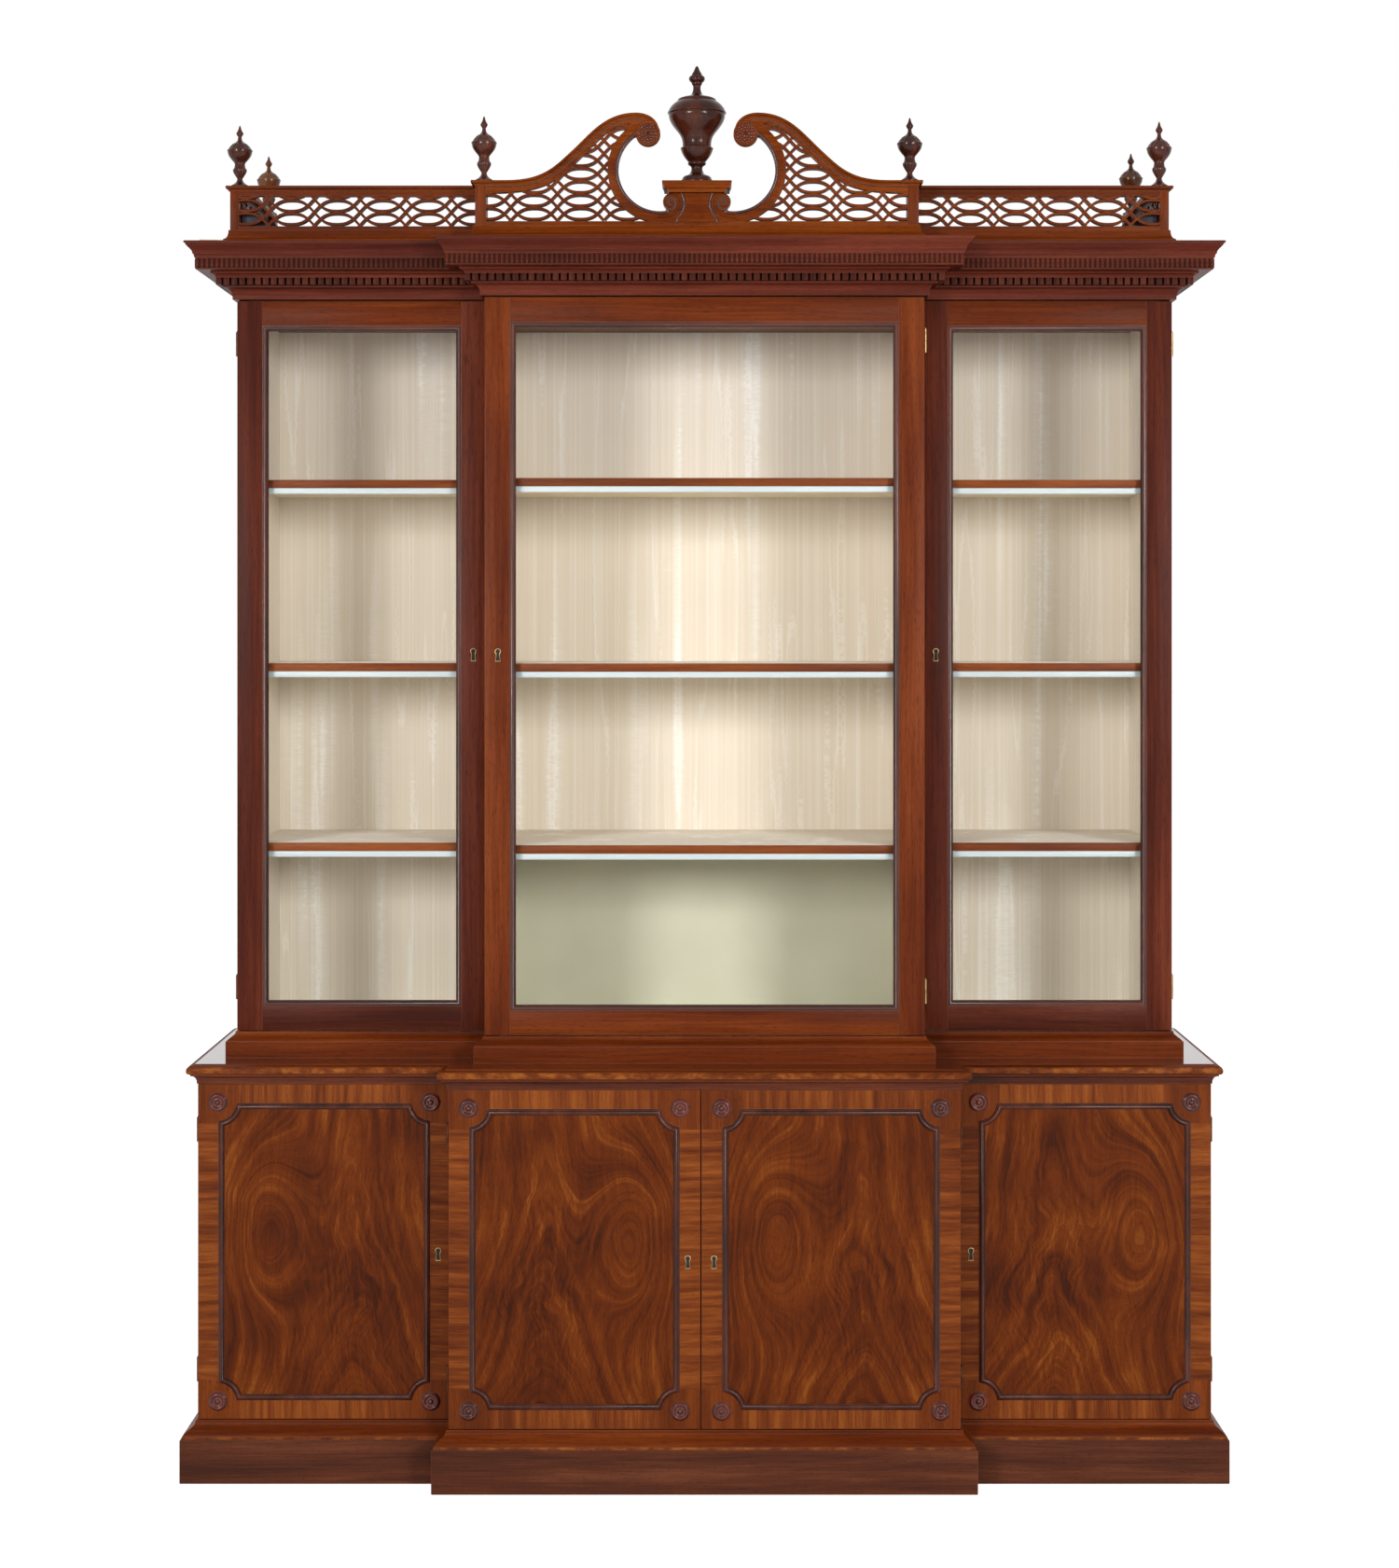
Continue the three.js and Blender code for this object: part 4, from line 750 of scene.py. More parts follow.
def quarter_turns(steps):
    """The sine of even steps through a quarter turn, with what the cosine falls short of 1."""
    turns = [share * math.pi / 2 for share in shares(steps, 1)]
    return [(math.sin(turn), 1 - math.cos(turn)) for turn in turns]


def quarter_up(start, end, steps=7):
    """A quarter round that leaves its start upwards."""
    return [between(start, end, late, early) for early, late in quarter_turns(steps)]


def quarter_out(start, end, steps=7):
    """A quarter round that leaves its start outwards."""
    return [between(start, end, early, late) for early, late in quarter_turns(steps)]


def ogee(start, end, steps=10):
    """An S-shaped curve."""
    return [between(start, end, (1 - math.cos(share * math.pi)) / 2, share) for share in shares(steps, 1)]


def bead(start, end, swell, steps=6):
    """A rounded bead, standing out by swell at its middle."""
    line = []
    for share in shares(steps, 1):
        out, up = between(start, end, share, share)
        line.append((out + math.sin(share * math.pi) * swell, up))
    return line


def profile_of(*members, lift=0):
    """A profile from points and curves. A curve has its end with it, and starts at the point before it."""
    line = []
    for member in members:
        line += member[0](line[-1], *member[1:]) if callable(member[0]) else [member]
    return [(out, up + lift) for out, up in line]


def arc_line(centre, radius, start, end, steps=28):
    """Points of a circle between two angles in degrees."""
    turns = [math.radians(start + (end - start) * share) for share in shares(steps)]
    return [(centre[0] + radius * math.cos(turn), centre[1] + radius * math.sin(turn)) for turn in turns]


def upright(outline, y, centre=(0, 0)):
    """An outline in X and Z, stood up at one depth."""
    return [(centre[0] + x, y, centre[1] + z) for x, z in outline]


def middle(low, high):
    return [(start + end) / 2 for start, end in zip(low, high)]


# %% [markdown]
# ## Mouldings round the breakfront
# A moulding on the real cabinet is planed as a straight strip and mitred at each corner of the plan: once
# round each side, and in and out again at the break. So the profile is repeated at the eight corners of
# the plan and a skin is stretched over it. The strips that run back get the grain that runs back.

# %% Mouldings that follow the plan
def plan_corners(plan, reach, side=None):
    """The eight corners of the breakfront at one projection. What faces sideways may have its own."""
    side = reach if side is None else side
    wing, centre = plan["wing"] + side, plan["centre"] + side
    front = plan["front"] - reach
    inner = front + STEP
    return [(-wing, BACK), (-wing, inner), (-centre, inner), (-centre, front),
            (centre, front), (centre, inner), (wing, inner), (wing, BACK)]


def run_along(path_at, profile, runs, ends, deep=()):
    """A profile run along a path that is known at each projection, with the finish of each run and end.

    The points of the profile that are named in deep start a surface with finish 2."""
    points, faces = skin(list(zip(*[[(x, y, z) for x, y in path_at(reach)] for reach, z in profile])))
    count = len(profile)
    numbers = [2 if at % count in deep else runs[at // count] for at in range(len(faces) - 2)]
    return (points, faces), numbers + ends


def moulding_round(plan, profile, deep=(), keep_sides=True):
    """A mitred strip round the front and the sides. With keep_sides it never cuts into the sides."""
    def path_at(reach):
        return plan_corners(plan, reach, max(reach, 0) if keep_sides else reach)
    return run_along(path_at, profile, [1, 0, 1, 0, 1, 0, 1], [1, 1], deep)


def moulded_slab(plan, profile, worn):
    """A solid board with a moulded edge. Levels named in worn are where hands and keys have rubbed it."""
    levels = [[(x, y, height) for x, y in plan_corners(plan, reach)] for reach, height in profile]
    points, faces = skin(levels)
    numbers = [1 - at % 2 + (2 if at // 8 in worn else 0) for at in range(len(faces) - 2)]
    return (points, faces), numbers + [0, 4]


# %% [markdown]
# The plinth is a plain frame. The base moulding over it is an ogee with a small fillet above and below.
# The waist moulding, the edge of the top board and the surbase that carries the bookcase follow the same
# rule, each with its own profile.

# %% Plinth, base, waist, top board and surbase
INSIDE = -CARCASE_SETBACK
PLINTH_REACH = 30.5
PLINTH_RAIL = 46
EASE = 1.2
plinth_inner = PLINTH_REACH - PLINTH_RAIL
plinth_profile = [(PLINTH_REACH - EASE, 0), (PLINTH_REACH, EASE), (PLINTH_REACH, PLINTH_TOP - EASE),
                  (PLINTH_REACH - EASE, PLINTH_TOP), (plinth_inner, PLINTH_TOP), (plinth_inner, 0)]
rail_half = base_plan["wing"] + plinth_inner
rear_rail = eased_box((-rail_half, rail_half), (BACK - BOARD, BACK), (0, PLINTH_TOP))
build("plinth_frame", [moulding_round(base_plan, plinth_profile, keep_sides=False), (rear_rail, 0)],
      ["plinth", "plinth_return"], "mahogany", "plinth")

top = BASE_TOP - PLINTH_TOP
base_profile = profile_of((INSIDE, 0), (27, 0), (27, 5), (25.5, 5), (ogee, (5, top - 5)), (3, top - 5),
                          (bead, (3, top), 1.2), (INSIDE, top), lift=PLINTH_TOP)
build("base_ogee", [moulding_round(base_plan, base_profile, (1, 2))], ["rail", "return", "worn"],
      "mahogany", "base_moulding")

top = TOP_BOARD_BOTTOM - WAIST_BOTTOM
waist_profile = profile_of((INSIDE, 0), (2, 0), (2, 3), (quarter_up, (13, top - 3)), (13, top),
                           (INSIDE, top), lift=WAIST_BOTTOM)
build("waist_cavetto", [moulding_round(base_plan, waist_profile)], ["waist", "red_return"],
      "dark_mahogany", "waist_moulding")

top = TOP_BOARD_TOP - TOP_BOARD_BOTTOM
top_profile = profile_of((12, 0), (quarter_out, (20, 6)), (20, 9), (quarter_up, (7, top - 1.5)),
                         (6, top - 1.5), (5, top), lift=TOP_BOARD_BOTTOM)
rubbed_levels = [at for at, (reach, _) in enumerate(top_profile) if reach > 18.5]
build("base_top", [moulded_slab(base_plan, top_profile, rubbed_levels)],
      ["rail", "return", "worn", "worn_return", "polished"], "mahogany", "lower_top_board")

top = SURBASE_TOP - TOP_BOARD_TOP
surbase_profile = profile_of((INSIDE, 0), (20, 0), (20, 31), (20, 32), (18, 32), (ogee, (3, top - 3)),
                             (3, top), (INSIDE, top), lift=TOP_BOARD_TOP)
build("surbase_fascia", [moulding_round(case_plan, surbase_profile)], ["rail", "return"],
      "mahogany", "surbase_moulding")

# %% [markdown]
# ## Boards
# The sides and partitions carry half of each hinge, so their solids are copied rather than drawn again.
# The copy is merged, its flat faces are dissolved into whole ones, and its edges are eased.

# %% Eased copies of boards
SIDES = ("left", "right")
BAY_NAMES = ("left", "centre", "right")
COPY_EASE = 0.0007


def eased_copy(node):
    """A board of the frame as one clean mesh with eased edges."""
    solid = bmesh.new()
    solid.from_mesh(frame["nodes"][node].data)
    bmesh.ops.remove_doubles(solid, verts=solid.verts[:], dist=MERGE_GAP)
    bmesh.ops.dissolve_limit(solid, angle_limit=0.02, verts=solid.verts[:], edges=solid.edges[:])
    sharp = [line for line in solid.edges if line.calc_face_angle(0) > math.radians(30)]
    ease_edges(solid, sharp, COPY_EASE)
    name = f"{node}_board"
    mesh = bpy.data.meshes.new(name)
    solid.to_mesh(mesh)
    solid.free()
    mesh.materials.append(wood["side"])
    fit(smoothed(name, mesh, 50), "mahogany", node)


for board in ("side", "partition"):
    for stage in ("lower", "upper"):
        for side in SIDES:
            eased_copy(f"{stage}_{board}_{side}")

# %% [markdown]
# The boards inside keep their solids. They only need a finish: the back is plain wood behind, the floor of
# the bookcase is painted, and the inside of the cupboards is waxed wood.

# %% Finishes for the boards that stay
dressed = {
    "plain": ["lower_bottom", *[f"lower_shelf_{side}" for side in BAY_NAMES], "upper_top"],
    "plain_upright": ["lower_back", "upper_back"],
    lining: ["upper_bottom"],
    glass: [f"upper_door_{side}_glass" for side in BAY_NAMES],
}
for finish, nodes in dressed.items():
    for node in nodes:
        materials = frame["nodes"][node].data.materials
        materials.clear()
        materials.append(wood.get(finish, finish))

# %% [markdown]
# ## Shelves
# Each shelf is a mahogany board with a pale strip fixed under its front edge. The top of the board is
# covered with the same silk as the back, and the underside is cream, so that only the front edge shows the
# wood.

# %% Shelves and their strips
SHELF = 16
STRIP_INSET = 3
STRIP_DEPTH = 8
STRIP_HEIGHT = 12


def lay_silk(name, part, width, height):
    """A stretched sheet of silk made from its part. width and height, its flat size in millimetres, are not
    used.
    """
    cloth = build(name, [(part, 0)], [silk], "silk")
    width * MM
    height * MM


def build_shelf(where):
    """A shelf with its strip and its cover."""
    node = f"upper_shelf_{where}"
    (x0, y0, _), (x1, y1, top) = span(node)
    under = top - SHELF
    strip = (y0 + STRIP_INSET, y0 + STRIP_INSET + STRIP_DEPTH)
    board = eased_box((x0, x1), (y0, y1), (under, top), 1.2)
    paint = eased_box((x0 + 0.5, x1 - 0.5), (strip[1] + 0.3, y1 - 0.5), (under - 0.7, under + 1), 0.2)
    build(f"shelf_{where}", [(board, 0), (paint, 1)], ["shelf", cream], "mahogany", node)
    lamp_strip = eased_box((x0 + 1, x1 - 1), strip, (under - STRIP_HEIGHT, under), 1.5)
    build(f"light_strip_{where}", [(lamp_strip, 0)], [light_strip], "light_strip")
    cover = eased_box((x0 + 1, x1 - 1), (y0 + 12, y1 - 1), (top, top + 0.6), 0.2)
    lay_silk(f"shelf_cover_{where}", cover, x1 - x0 - 2, y1 - y0 - 13)


for side in BAY_NAMES:
    for level in (1, 2, 3):
        build_shelf(f"{side}_{level}")

# %% [markdown]
# ## Silk lining
# The silk is stretched over the back board of each bay and over the sides that face into it. The lowest
# part of the middle bay was never covered, and shows the old pale green paint.

# %% Linings of the bays
SILK = 0.8
RIPPLE = 0.25
wing_edge = case_plan["front"] + STEP + CARCASE_SETBACK
centre_edge = case_plan["front"] + CARCASE_SETBACK
BAYS = {
    "left": (-case_plan["wing"] + BOARD, -case_plan["centre"], wing_edge, "side_left", "partition_left"),
    "centre": (-case_plan["centre"] + BOARD, case_plan["centre"] - BOARD, centre_edge, "partition_left",
               "partition_right"),
    "right": (case_plan["centre"], case_plan["wing"] - BOARD, wing_edge, "partition_right", "side_right"),
}
back_face = span("upper_back")[0][1]
ceiling = span("upper_top")[0][2]
paint_top = span("upper_shelf_centre_1")[1][2] - SHELF


def stretched_cloth(start, end, wall, inward, z0, along_x):
    """Cloth tacked to a wall up to the ceiling, which stands off it by a hair between the tacks."""
    rings = []
    for share in shares(max(round((end - start) / 12), 4)):
        along = start + (end - start) * share
        swell = RIPPLE * (1 + math.sin(along * 0.11) * math.sin(along * 0.043))
        near = wall + inward * (SILK + swell)
        corners = [(near, z0), (near, ceiling), (wall, ceiling), (wall, z0)]
        rings.append([(along, deep, z) if along_x else (deep, along, z) for deep, z in corners])
    return skin(rings)


for bay, (x0, x1, edge_y, *boards) in BAYS.items():
    foot = paint_top if bay == "centre" else SURBASE_TOP
    back = stretched_cloth(x0 + 1.2, x1 - 1.2, back_face, -1, foot, True)
    lay_silk(f"silk_back_{bay}", back, x1 - x0 - 2.4, ceiling - foot)
    for side, wall, inward, board in zip(SIDES, (x0, x1), (1, -1), boards):
        cloth = stretched_cloth(edge_y + 2, back_face - 1.5, wall, inward, SURBASE_TOP, False)
        width, height = back_face - edge_y - 3.5, ceiling - SURBASE_TOP
        lay_silk(f"silk_side_{bay}_{side}", cloth, width, height)
bay_x = (BAYS["centre"][0] + 1, BAYS["centre"][1] - 1)
paint_coat = eased_box(bay_x, (back_face - SILK, back_face), (SURBASE_TOP, paint_top), 0.2)
build("painted_back_centre", [(paint_coat, 0)], [lining], "lined_board")

# %% [markdown]
# ## Glazed doors
# A glazed door is two stiles that run the full height, two rails between them, and a moulded sash mitred
# round the inside. The stiles and rails are separate boards, so that the joint between them shows and each
# has its own grain. The sash has a quirk, a rounded bead and a hollow down to the glass.

# %% Doors of the bookcase
SIDE_GAP = 1.6
STILE = 61
RAIL_SHARE = 58.6 / STILE
SASH = 50
REBATE = 55
GLASS_FACE = 12
SASH_SECTION = [(SASH, 1.6), (SASH + 0.8, 1.6), (SASH + 1.2, 1.6), (SASH + 2.2, 0.7), (SASH + 4, 0.3),
                (SASH + 6, 0.8), (SASH + 7.6, 2.3), (SASH + 8.3, 4), (SASH + 9.2, 4.6), (STILE - 0.6, 6),
                (STILE, 8), (STILE, GLASS_FACE), (REBATE, GLASS_FACE), (REBATE, DOOR), (SASH, DOOR)]


def glazed_door(side, x0, x1, stile, foot_rail):
    node = f"upper_door_{side}_frame"
    (_, plane, z0), (_, _, z1) = span(node)
    rail = SASH * RAIL_SHARE
    y = (plane, plane + DOOR)
    parts = [(eased_box(x, y, (z0, z1), 0.9), 0) for x in ((x0, x0 + SASH), (x1 - SASH, x1))]
    parts += [(eased_box((x0 + SASH, x1 - SASH), y, z, 0.5), finish)
              for z, finish in (((z0, z0 + rail), 4), ((z1 - rail, z1), 1))]
    rings = []
    for right, up in ((-1, -1), (1, -1), (1, 1), (-1, 1)):
        corner_x = x1 if right > 0 else x0
        corner_z = z1 if up > 0 else z0
        rings.append([(corner_x - right * inset, plane + into, corner_z - up * inset * RAIL_SHARE)
                      for inset, into in SASH_SECTION])
    sash = skin(rings, closed=True)
    parts.append((sash, [2 + at // len(SASH_SECTION) % 2 for at in range(len(sash[1]))]))
    woods = [stile, "rail", "dark", "dark_upright", foot_rail]
    build(f"glazed_door_{side}", parts, woods, "mahogany", node, body=f"upper_door_{side}")


# The wing doors' stiles are darker: partly their own tone, partly painted shade that the projecting centre
# casts on their inner stiles.
glazed_door("left", -case_plan["wing"], -case_plan["centre"] - SIDE_GAP, "wing_stile_tone_and_shade", "wing_foot")
glazed_door("centre", -case_plan["centre"], case_plan["centre"], "stile", "rail")
glazed_door("right", case_plan["centre"] + SIDE_GAP, case_plan["wing"], "wing_stile_tone_and_shade", "wing_foot")

# %% [markdown]
# ## Cupboard doors
# The front of a cupboard door is a patchwork of veneers: a flame panel, cross-banding with its grain
# across the rails and stiles, and a plain square at each corner. A moulding covers the seam and bends in
# round a turned roundel at each corner.

# %% Doors of the cupboards
ROUNDEL_X, ROUNDEL_Z = 39, 35
LINE_X, LINE_Z = ROUNDEL_X + 7.3, ROUNDEL_Z + 8
BEND = 42
ARRIS = 0.8
MEETING_LEFT, MEETING_RIGHT = -7.8, -6.2
MOULDING = [(-6, -0.5), (-6, 1.2), (-5, 2.2), (-3.6, 2.8), (-2.6, 4.6), (-1, 6), (1, 6.5), (2.8, 5.8),
            (4, 4.2), (4.4, 2.6), (5.6, 1.8), (6, 1.0), (6, -0.5)]
ROUNDEL = [(0, 7.6), (2.4, 7.2), (4.2, 5.8), (4.8, 4.4), (6.2, 3.6), (8.8, 3.6), (10.2, 4.2), (10.8, 5.6),
           (12, 6.6), (13.6, 6.8), (15.2, 6.2), (16.2, 4.6), (16.6, 3.2), (18.2, 2.4), (19, 1.2),
           (19, -0.5), (0, -0.5)]
FLAME, LEVEL, UPRIGHT, CORNER, EDGE_WOOD, SEAM, KNOBS = range(7)


def seam(half_x, half_z):
    """The closed line of the moulding about the middle of a door, corner by corner."""
    first = math.asin((LINE_X - ROUNDEL_X) / BEND)
    last = math.pi / 2 - math.asin((LINE_Z - ROUNDEL_Z) / BEND)
    turns = [first + (last - first) * share for share in shares(10)]
    corners = []
    corner_x, corner_z = half_x - ROUNDEL_X, half_z - ROUNDEL_Z
    for right, up in ((1, 1), (-1, 1), (-1, -1), (1, -1)):
        bend = [(right * (corner_x - BEND * math.sin(turn)), up * (corner_z - BEND * math.cos(turn)))
                for turn in turns]
        corners.append(bend if right * up > 0 else bend[::-1])
    return corners


def cupboard_door(name, x0, x1, plane, veneer):
    node = f"lower_door_{name}"
    centre = ((x0 + x1) / 2, middle(*span(node))[2])
    half_x, half_z = (x1 - x0) / 2, (span(node)[1][2] - span(node)[0][2]) / 2
    rim = [(-half_x, -half_z), (half_x, -half_z), (half_x, half_z), (-half_x, half_z)]
    inner = [(x - math.copysign(ARRIS, x), z - math.copysign(ARRIS, z)) for x, z in rim]
    levels = ((inner, plane), (rim, plane + ARRIS), (rim, plane + DOOR))
    points, faces = skin([upright(line, y, centre) for line, y in levels])
    parts = [((points, faces[:8] + [faces[9]]), EDGE_WOOD)]

    def lay(outline, finish):
        parts.append(((upright(outline, plane, centre), [list(range(len(outline)))]), finish))

    bends = seam(half_x, half_z)
    sheet = [point for bend in bends for point in bend]
    lay(sheet, FLAME)
    for bend, (outer_x, outer_z) in zip(bends, inner[2:] + inner[:2]):
        on_rail = min(bend[0], bend[-1], key=lambda point: abs(point[0]))
        on_stile = min(bend[0], bend[-1], key=lambda point: abs(point[1]))
        line = bend if bend[0] == on_rail else bend[::-1]
        lay([(outer_x, outer_z), (on_rail[0], outer_z)] + line + [(outer_x, on_stile[1])], CORNER)
    corner_x, seam_x = sorted((abs(bends[0][0][0]), abs(bends[0][-1][0])))
    corner_z, seam_z = sorted((abs(bends[0][0][1]), abs(bends[0][-1][1])))
    for hand in (-1, 1):
        edge_x, edge_z = hand * (half_x - ARRIS), hand * (half_z - ARRIS)
        band_x, band_z = hand * seam_x, hand * seam_z
        lay([(edge_x, -corner_z), (band_x, -corner_z), (band_x, corner_z), (edge_x, corner_z)], LEVEL)
        lay([(-corner_x, edge_z), (corner_x, edge_z), (corner_x, band_z), (-corner_x, band_z)], UPRIGHT)
    path = [(centre[0] + x, centre[1] + z) for x, z in sheet]
    parts.append((swept(path, MOULDING, plane, closed=True), SEAM))
    for right in (-1, 1):
        for up in (-1, 1):
            about = (right * (half_x - ROUNDEL_X), up * (half_z - ROUNDEL_Z))
            parts.append((turned(ROUNDEL, upright([about], plane, centre)[0], 40, "front"), KNOBS))
    woods = [veneer, "band_level", "band_upright", "corner", "stile", "seam", "roundel"]
    piece = make_piece(f"cupboard_door_{name}", parts, woods, smooth=45)
    turn_outwards(piece.data, merge=True)
    fit(piece, "flame_mahogany", node, body=node)


door_middle = middle(*span("lower_door_wing_left"))[2]
wing_plane = base_plan["front"] + STEP
cupboards = {
    "wing_left": (-base_plan["wing"], -base_plan["centre"] - SIDE_GAP, wing_plane),
    "centre_left": (-base_plan["centre"], MEETING_LEFT, base_plan["front"]),
    "centre_right": (MEETING_RIGHT, base_plan["centre"], base_plan["front"]),
    "wing_right": (base_plan["centre"] + SIDE_GAP, base_plan["wing"], wing_plane),
}
for sheet, (name, (x0, x1, plane)) in enumerate(cupboards.items()):
    hand = -1 if sheet % 2 else 1
    veneer = flame_veneer(f"flame_veneer_{name}", (x0 + x1) / 2, door_middle, hand, sheet)
    cupboard_door(name, x0, x1, plane, veneer)

# %% [markdown]
# ## Escutcheons and hinges
# Each keyhole is lined with a thread of brass: a round head above a narrower foot. Behind it, a near-black
# sheet is painted shadow for the inside of the lock. The hinges show only their knuckles, which stand
# beside the edge of each door.

# %% Escutcheons
THREAD = 1.7
THREAD_EASE = 0.4


def keyhole_line(half_width, height):
    """A round head above a foot that narrows at its waist."""
    head = arc_line((0, height / 2 - half_width), half_width, -50, 230, 9)
    waist, foot = half_width * 0.62, half_width * 0.9
    neck, bottom = -height * 0.1, -height / 2
    return head + [(-waist, neck), (-foot, bottom), (foot, bottom), (waist, neck)]


def escutcheon(stage, name):
    body = f"{stage}_door_{name}"
    low, high = span(f"{body}_escutcheon")
    centre = middle(low, high)

    def ring(inset, y):
        line = keyhole_line((high[0] - low[0]) / 2 - inset, high[2] - low[2] - 2 * inset)
        return upright(line, y, (centre[0], centre[2]))

    face, wall = low[1], high[1]
    levels = ((0, wall), (0, face + 0.3), (THREAD_EASE, face), (THREAD - THREAD_EASE, face),
              (THREAD, face + 0.3), (THREAD, wall))
    thread = skin([ring(inset, y) for inset, y in levels], closed=True)
    dark = skin([ring(THREAD, wall - 0.3), ring(THREAD, wall)])
    parts = [(thread, 0), (dark, 1)]
    build(f"keyhole_{stage}_{name}", parts, [brass, keyhole], "brass", f"{body}_escutcheon", body=body)


for side in BAY_NAMES:
    escutcheon("upper", side)
for name in cupboards:
    escutcheon("lower", name)

# %% Hinges
KNUCKLE = 2.9
KNUCKLE_FOOT = 2.3
HINGE_INSET = {"upper": 83, "lower": 92}


def knuckles(body, half, owner, tip, below, above, places, finish):
    """The knuckles of one half of a door's hinges."""
    barrel = [(0, below), (KNUCKLE_FOOT, below), (KNUCKLE, below + 0.6), (KNUCKLE, above - 0.6)]
    profile = barrel + [(KNUCKLE_FOOT, above)] + [(radius, above + rise) for radius, rise in tip]
    parts = [(turned(profile, place, 24), 0) for place in places]
    build(f"knuckles_{body}_{half}", parts, [finish], "brass", body=owner)


PIN_TIP = [(1.4, 0.4), (1.6, 1.4), (1.0, 2.4), (0, 2.8)]
for joint in frame["joints"]:
    body = joint["child"]
    stage = body.split("_")[0]
    low, high = span(f"{body}_frame" if stage == "upper" else body)
    axis = [value / MM for value in joint["pos_m"][:2]]
    places = [(*axis, low[2] + HINGE_INSET[stage]), (*axis, high[2] - HINGE_INSET[stage])]
    finish = brass if stage == "upper" and "left" not in body else tarnished
    knuckles(body, "door", body, PIN_TIP, 0, 24, places, finish)
    knuckles(body, "case", "root", [(0, 0)], -24, -0.3, places, finish)

# %% [markdown]
# ## Cornice
# The cornice is the richest moulding. From the bottom it has an ovolo, a course of dentils, a cove, a bead,
# a fluted corona, a cavetto and a cyma. The plain mouldings are one mitred strip. The dentils and the
# flutes repeat along each straight run, so Geometry Nodes set them out.

# %% Cornice mouldings
CORNICE_RAIL = 22
DENTIL_WALL, DENTIL_FOOT, DENTIL_HEAD = 24, 26, 40
DENTIL_REACH = 36.5
CORONA, CORONA_FOOT, CORONA_HEAD = 70.7, 52, 75
FLUTE_FOOT, FLUTE_HEAD = CORONA_FOOT + 2.5, CORONA_HEAD - 1.5
top = CORNICE_TOP - CORNICE_BOTTOM
cornice_profile = profile_of(
    (-22, 0), (8, 0), (8, 5), (quarter_up, (22, 22)), (DENTIL_WALL, 22), (DENTIL_WALL, DENTIL_FOOT),
    (DENTIL_WALL, DENTIL_HEAD), (DENTIL_REACH, DENTIL_HEAD), (quarter_up, (44, 47)), (bead, (44, 52), 2.0),
    (CORONA - 1, CORONA_FOOT), (CORONA, CORONA_FOOT + 1), (CORONA, FLUTE_FOOT), (CORONA, FLUTE_HEAD),
    (CORONA, CORONA_HEAD), (CORONA + 2, CORONA_HEAD), (quarter_up, (75.5, 82)), (76, 84), (ogee, (88, 102)),
    (90.5, 102), (90.5, top - 1), (89.5, top), (-22, top), lift=CORNICE_BOTTOM)
# The faces behind the dentils and between the fillets of the flutes take a dark wood, painted shade for
# these recesses.
shade_starts = (DENTIL_WALL, CORNICE_BOTTOM + DENTIL_FOOT), (CORONA, CORNICE_BOTTOM + FLUTE_FOOT)
deep = [cornice_profile.index(point) for point in shade_starts]
rail_end = case_plan["wing"] - CORNICE_RAIL
rear_rail = eased_box((-rail_end, rail_end), (BACK - CORNICE_RAIL, BACK), (CORNICE_BOTTOM, CORNICE_TOP))
parts = [moulding_round(case_plan, cornice_profile, deep, keep_sides=False), (rear_rail, 0)]
build("cornice_mouldings", parts, ["red", "red_return", "recess_shade"], "dark_mahogany", "cornice")

case_wing_plane = case_plan["front"] + STEP
packing = [(x, CORNICE_TOP + z) for x, z in ((-826, 1.2), (-960, 6), (-992, 6.5), (-992, 0), (-826, 0))]
strip = plate(packing, case_wing_plane - 52, case_wing_plane - 30, 0.3)
build("packing_strip", [(strip, 0)], ["raw"], "carcase_wood")

# %% [markdown]
# Geometry Nodes take the straight runs as edges, turn them into curves, divide each at one pitch, and set
# one ornament at every division. A run carries the angle that it faces, so that each ornament looks
# outwards. The result is made a plain mesh, because a library of parts holds no instances.

# %% The group that sets ornaments along runs
def hand_out(group, geometry):
    """Makes the instances real, gives them the group's finish, and ends the group with them."""
    real = group.wire("GeometryNodeRealizeInstances", {"Geometry": geometry})
    inputs = {"Geometry": real, "Material": group.given["Finish"]}
    group.put(group.ends[0], group.wire("GeometryNodeSetMaterial", inputs))


row = Group("ornament_run", "GeometryNodeTree",
            {"Runs": GEOMETRY, "Ornament": OBJECT, "Pitch": 0.0155, "Finish": MATERIAL}, ["Ornaments"])
given = row.given
as_curves = row.wire("GeometryNodeMeshToCurve", {"Mesh": given["Runs"]})
lengths = {"Curve": as_curves, "Length": given["Pitch"]}
divided = row.wire("GeometryNodeResampleCurve", lengths, mode="LENGTH")
turn = row.wire("GeometryNodeInputNamedAttribute", {"Name": "turn"}, data_type="FLOAT")
ornament = row.wire("GeometryNodeObjectInfo", {"Object": given["Ornament"]}, out="Geometry")
places = {"Points": divided, "Instance": ornament, "Rotation": row.combine(z=turn)}
hand_out(row, row.wire("GeometryNodeInstanceOnPoints", places))


INNER_CORNERS = {2, 5}


def grown(name, carrier_mesh, group, values):
    """Runs a group on a carrier mesh and gives back the result as a plain object."""
    carrier = placed(f"{name}_carrier", carrier_mesh)
    modifier = carrier.modifiers.new("tree", "NODES")
    modifier.node_group = group.tree
    for item in group.tree.interface.items_tree:
        if item.name in values:
            modifier[item.identifier] = values[item.name]
    carrier.update_tag()
    view = bpy.context.evaluated_depsgraph_get()
    mesh = bpy.data.meshes.new_from_object(carrier.evaluated_get(view))
    mesh.name = name
    carrier.modifiers.remove(modifier)
    bpy.data.objects.remove(carrier)
    return smoothed(name, mesh)


